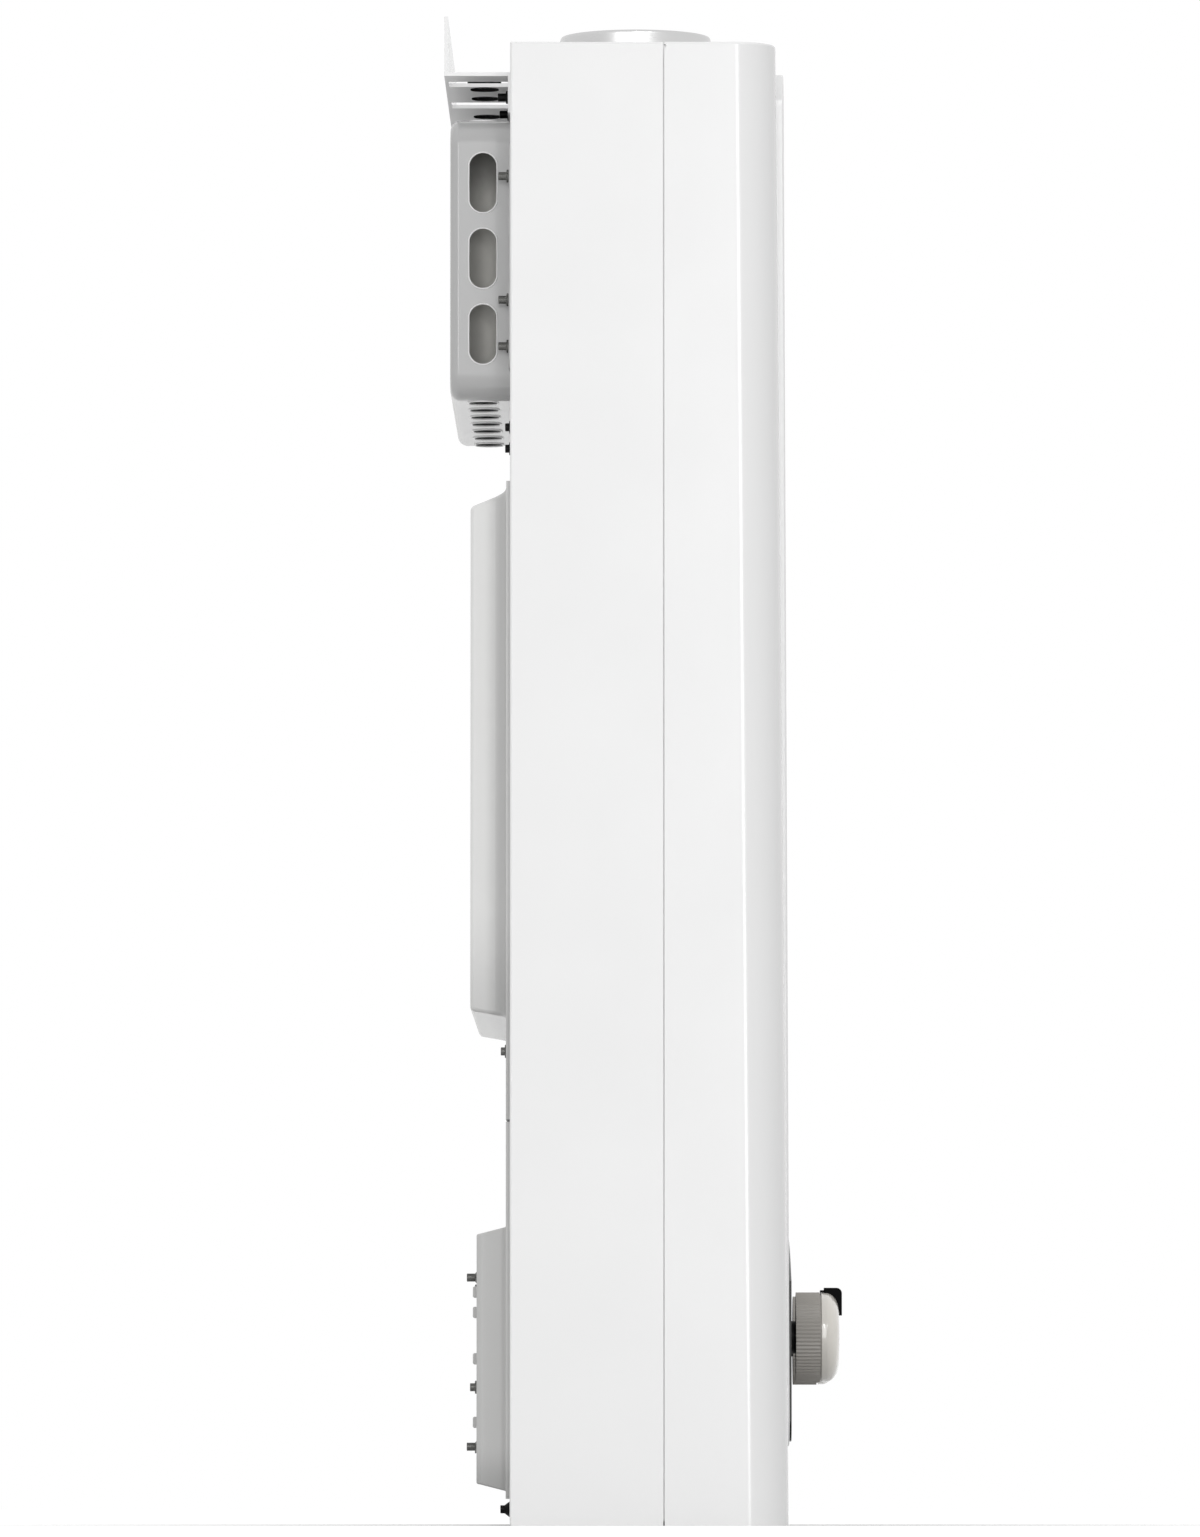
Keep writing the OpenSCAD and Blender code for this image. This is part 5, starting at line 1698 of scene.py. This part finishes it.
@dataclass
class InnerWorks:
    """What the case holds: each piece with its real finish, and its edges broken."""

    edge_r: float = 0.3
    edge_share: float = 12.0
    sharp: float = 0.7

    def build(self) -> None:
        """Builds the inner pieces."""
        groups: dict[Finish, tuple[str, ...]] = {
            ZINC: ("bottom_plate", "fan_housing", "burner_box", "burner_rack"),
            STEEL: ("gas_manifold", "gas_pipe", "microswitch_lever", "push_rod"),
            COPPER: ("exchanger_shell", "cold_pipe", "hot_pipe"),
            BRASS: (
                "gas_injectors",
                "gas_valve_body",
                "gas_inlet_fitting",
                "water_valve_body",
                "diaphragm_cover",
                "cold_inlet_fitting",
                "hot_outlet_fitting",
                "drain_plug",
            ),
            DARK_STEEL: (
                "fan_motor",
                "fan_shaft",
                "overheat_thermostat",
                "solenoid_coil",
                "ignition_transformer",
            ),
            CERAMIC: ("ignition_electrodes", "flame_sensor"),
            RUBBER: ("diaphragm",),
            GREY_ABS: ("controller_box", "air_pressure_switch"),
            BLACK_ABS: ("microswitch", "cable_gland"),
            HUB_BLACK: ("gas_spindle", "water_spindle"),
        }
        # Nodes whose shape is right already
        thin: dict[Finish, tuple[str, ...]] = {
            STEEL: ("fan_wheel", "burner_blades", "inlet_filter"),
            COPPER: ("exchanger_fins", "exchanger_tubes", "water_coil"),
            WINDOW: ("display_window",),
        }
        moving = {
            "microswitch_lever": "lever",
            "push_rod": "rod",
            "fan_shaft": "fan_rotor",
            "gas_spindle": "gas_knob",
            "water_spindle": "water_knob",
        }
        for finish, nodes in groups.items():
            for node in nodes:
                self._soften(node, finish, moving.get(node, CASE_BODY))
        for finish, nodes in thin.items():
            for node in nodes:
                wear(frame["nodes"][node], finish)
                LOG.info("%s dressed as %s", node, finish.name)

    def _soften(self, node: str, finish: Finish, body: str) -> None:
        """One inner piece, with the edges of its node broken.

        Args:
            node: The node that it stands for.
            finish: Its finish.
            body: The body that it rides on.
        """
        low, high = low_high(node)
        small = min(high[i] - low[i] for i in range(3))
        piece = traced(node, f"{node}_piece")
        soften(piece, min(self.edge_r, small / self.edge_share), 2, self.sharp)
        hand_over(smooth(piece), finish, body, node)


@dataclass(frozen=True)
class SoftBox:
    """A rectangular lamp, in metres and watts, aimed at a point."""

    name: str
    place: Point
    target: Point
    width: float
    height: float
    watts: float

    def build(self) -> None:
        """Adds the lamp."""
        deselect_all()
        bpy.ops.object.light_add(type="AREA", location=self.place)
        lamp = bpy.context.object
        lamp.name = self.name
        lamp.data.shape = "RECTANGLE"
        lamp.data.size = self.width
        lamp.data.size_y = self.height
        lamp.data.energy = self.watts
        lamp.visible_camera = False
        way = Vector(self.target) - Vector(self.place)
        lamp.rotation_euler = way.to_track_quat("-Z", "Y").to_euler()


LAMPS = (
    # Large and soft, from the near side and above
    SoftBox("key_softbox", (-3.0, 0.3, 0.72), (0, 0, 0.2), 2.0, 1.6, 7.3),
    # Upright strips for the bright lines along the front corner and the rear edges
    SoftBox("corner_strip", (-3.0, -0.3, 0.55), (0, 0, 0.4), 0.28, 2.2, 8.0),
    # Narrow ones for the glints on the knobs' caps
    SoftBox("knob_glint_a", (-2.9, -0.28, 1.65), (0, 0, 0.075), 0.05, 0.5, 4.6),
    SoftBox("knob_glint_b", (-2.9, -1.1, 1.65), (0, 0, 0.075), 0.05, 0.5, 4.6),
    SoftBox("rear_strip", (-2.7, 1.15, 0.55), (0, 0, 0.4), 0.22, 2.2, 8.3),
)


@dataclass
class Studio:
    """Floor, world, lamps and camera.

    The levels and tones are strengths of light and shares of white. near and far are the
    distances over which the floor turns white, and the wall and the sky are given as heights of
    the direction on the Y and the Z axis. The camera is turned by pitch and yaw, in degrees.
    """

    world_level: float = 0.62
    front_level: float = 0.53
    wall: Span = (-0.8, 0.1)
    sky_gain: float = 1.8
    sky: Span = (0.3, 0.95)
    floor_tone: float = 0.96
    floor_bounce: float = 0.55
    floor_lift: float = 0.04
    far_lift: float = 0.24
    near: float = 0.16
    far: float = 0.45
    camera_place: Point = (-4.86212, 0.00177, 0.00819)
    pitch: float = 3.4923
    yaw: float = 0.1867
    lens_mm: float = 282.57
    sensor_mm: float = 36.0
    floor_size: float = 30.0

    def build(self) -> None:
        """Sets up everything that isn't the object."""
        self._floor()
        self._world()
        for lamp in LAMPS:
            lamp.build()
        self._camera()
        bpy.context.scene.view_settings.view_transform = "Standard"

    def _seen(self, tree: Tree, *kinds: str) -> Socket:
        """A value that is 1 for some kinds of ray and 0 for the others.

        Args:
            tree: The tree that gets its nodes.
            kinds: The kinds of ray.

        Returns:
            The value's socket.
        """
        path = add_node(tree, "LightPath")
        seen, *others = (path.outputs[f"Is {kind} Ray"] for kind in kinds)
        for other in others:
            seen = add_node(tree, "Math", {0: seen, 1: other}, operation="MAXIMUM").outputs[0]
        return seen

    def _floor(self) -> None:
        """A plain pale floor that keeps the object's shadow and is white further away."""
        deselect_all()
        bpy.ops.mesh.primitive_plane_add(size=self.floor_size, location=(0, 0, 0))
        floor = bpy.context.object
        floor.name = "floor"
        made = bpy.data.materials.new("pale_floor")
        made.use_nodes = True
        tree = made.node_tree
        tree.nodes.clear()
        # Less of its light goes up to the heater than is seen, as on a floor of limited size
        upward = Swing(self._seen(tree, "Diffuse"), self.floor_tone, self.floor_bounce)
        tone = add_node(tree, "MapRange", upward.inputs())
        matt = add_node(tree, "BsdfDiffuse", {"Color": tone.outputs[0]})
        # Only what the camera and mirrors see is lifted to white, with the shadow left in
        seen = self._seen(tree, "Camera", "Glossy")
        place = add_node(tree, "TexCoord").outputs["Object"]
        distance = add_node(tree, "VectorMath", {0: place}, operation="LENGTH").outputs["Value"]
        whiter = Swing(distance, self.floor_lift, self.far_lift, self.near, self.far)
        far = add_node(tree, "MapRange", whiter.inputs())
        lift = add_node(tree, "Math", {0: seen, 1: far.outputs[0]}, operation="MULTIPLY")
        bright = add_node(tree, "Emission", {"Color": (1, 1, 1, 1), "Strength": lift.outputs[0]})
        mix = add_node(tree, "AddShader", {0: matt.outputs[0], 1: bright.outputs[0]})
        add_node(tree, "OutputMaterial", {"Surface": mix.outputs[0]})
        floor.data.materials.append(made)
        floor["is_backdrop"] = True

    def _world(self) -> None:
        """An even studio, white where it is seen directly or in a reflection."""
        world = bpy.data.worlds.new("studio")
        bpy.context.scene.world = world
        world.use_nodes = True
        tree = world.node_tree
        tree.nodes.clear()
        seen = self._seen(tree, "Camera", "Glossy", "Transmission")
        way = add_node(tree, "SeparateXYZ", {0: add_node(tree, "TexCoord").outputs["Generated"]})
        # The studio's front wall is darker, so that the heater's round corner turns grey
        front = Swing(way.outputs["Y"], self.front_level, self.world_level, *self.wall)
        wall = add_node(tree, "MapRange", front.inputs())
        # The ceiling is brighter
        above = Swing(way.outputs["Z"], 1.0, self.sky_gain, *self.sky)
        sky = add_node(tree, "MapRange", above.inputs())
        room = add_node(
            tree, "Math", {0: wall.outputs[0], 1: sky.outputs[0]}, operation="MULTIPLY"
        )
        level = add_node(
            tree, "MapRange", {"Value": seen, "To Min": room.outputs[0], "To Max": 1.0}
        )
        light = add_node(tree, "Background", {"Color": (1, 1, 1, 1), "Strength": level.outputs[0]})
        add_node(tree, "OutputWorld", {"Surface": light.outputs[0]})

    def _camera(self) -> None:
        """The photograph's viewpoint: low at the left side, through a long lens."""
        deselect_all()
        pitch, yaw = math.radians(self.pitch), math.radians(self.yaw)
        look = Vector(
            (math.cos(pitch) * math.cos(yaw), math.cos(pitch) * math.sin(yaw), math.sin(pitch))
        )
        bpy.ops.object.camera_add(location=self.camera_place)
        camera = bpy.context.object
        camera.rotation_euler = look.to_track_quat("-Z", "Y").to_euler()
        camera.data.lens = self.lens_mm
        camera.data.sensor_width = self.sensor_mm
        camera.data.clip_end = 100.0
        bpy.context.scene.camera = camera


def main() -> None:
    """Builds the heater's looks and notes its size before and after."""
    logging.basicConfig(level=logging.INFO, format="%(name)s: %(message)s")
    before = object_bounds()
    CaseShell().build()
    FrontPanel().build()
    Knob("gas", -KNOB_X).build()
    Knob("water", KNOB_X).build()
    FlueCollar().build()
    AirHood().build()
    RearPanels().build()
    WallBracket().build()
    Fasteners().build()
    InnerWorks().build()
    Studio().build()
    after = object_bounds()
    for label, box in (("cad", before), ("visual", after)):
        LOG.info("%s box %s", label, [[round(v, 5) for v in p] for p in box])


if __name__ == "__main__":
    main()
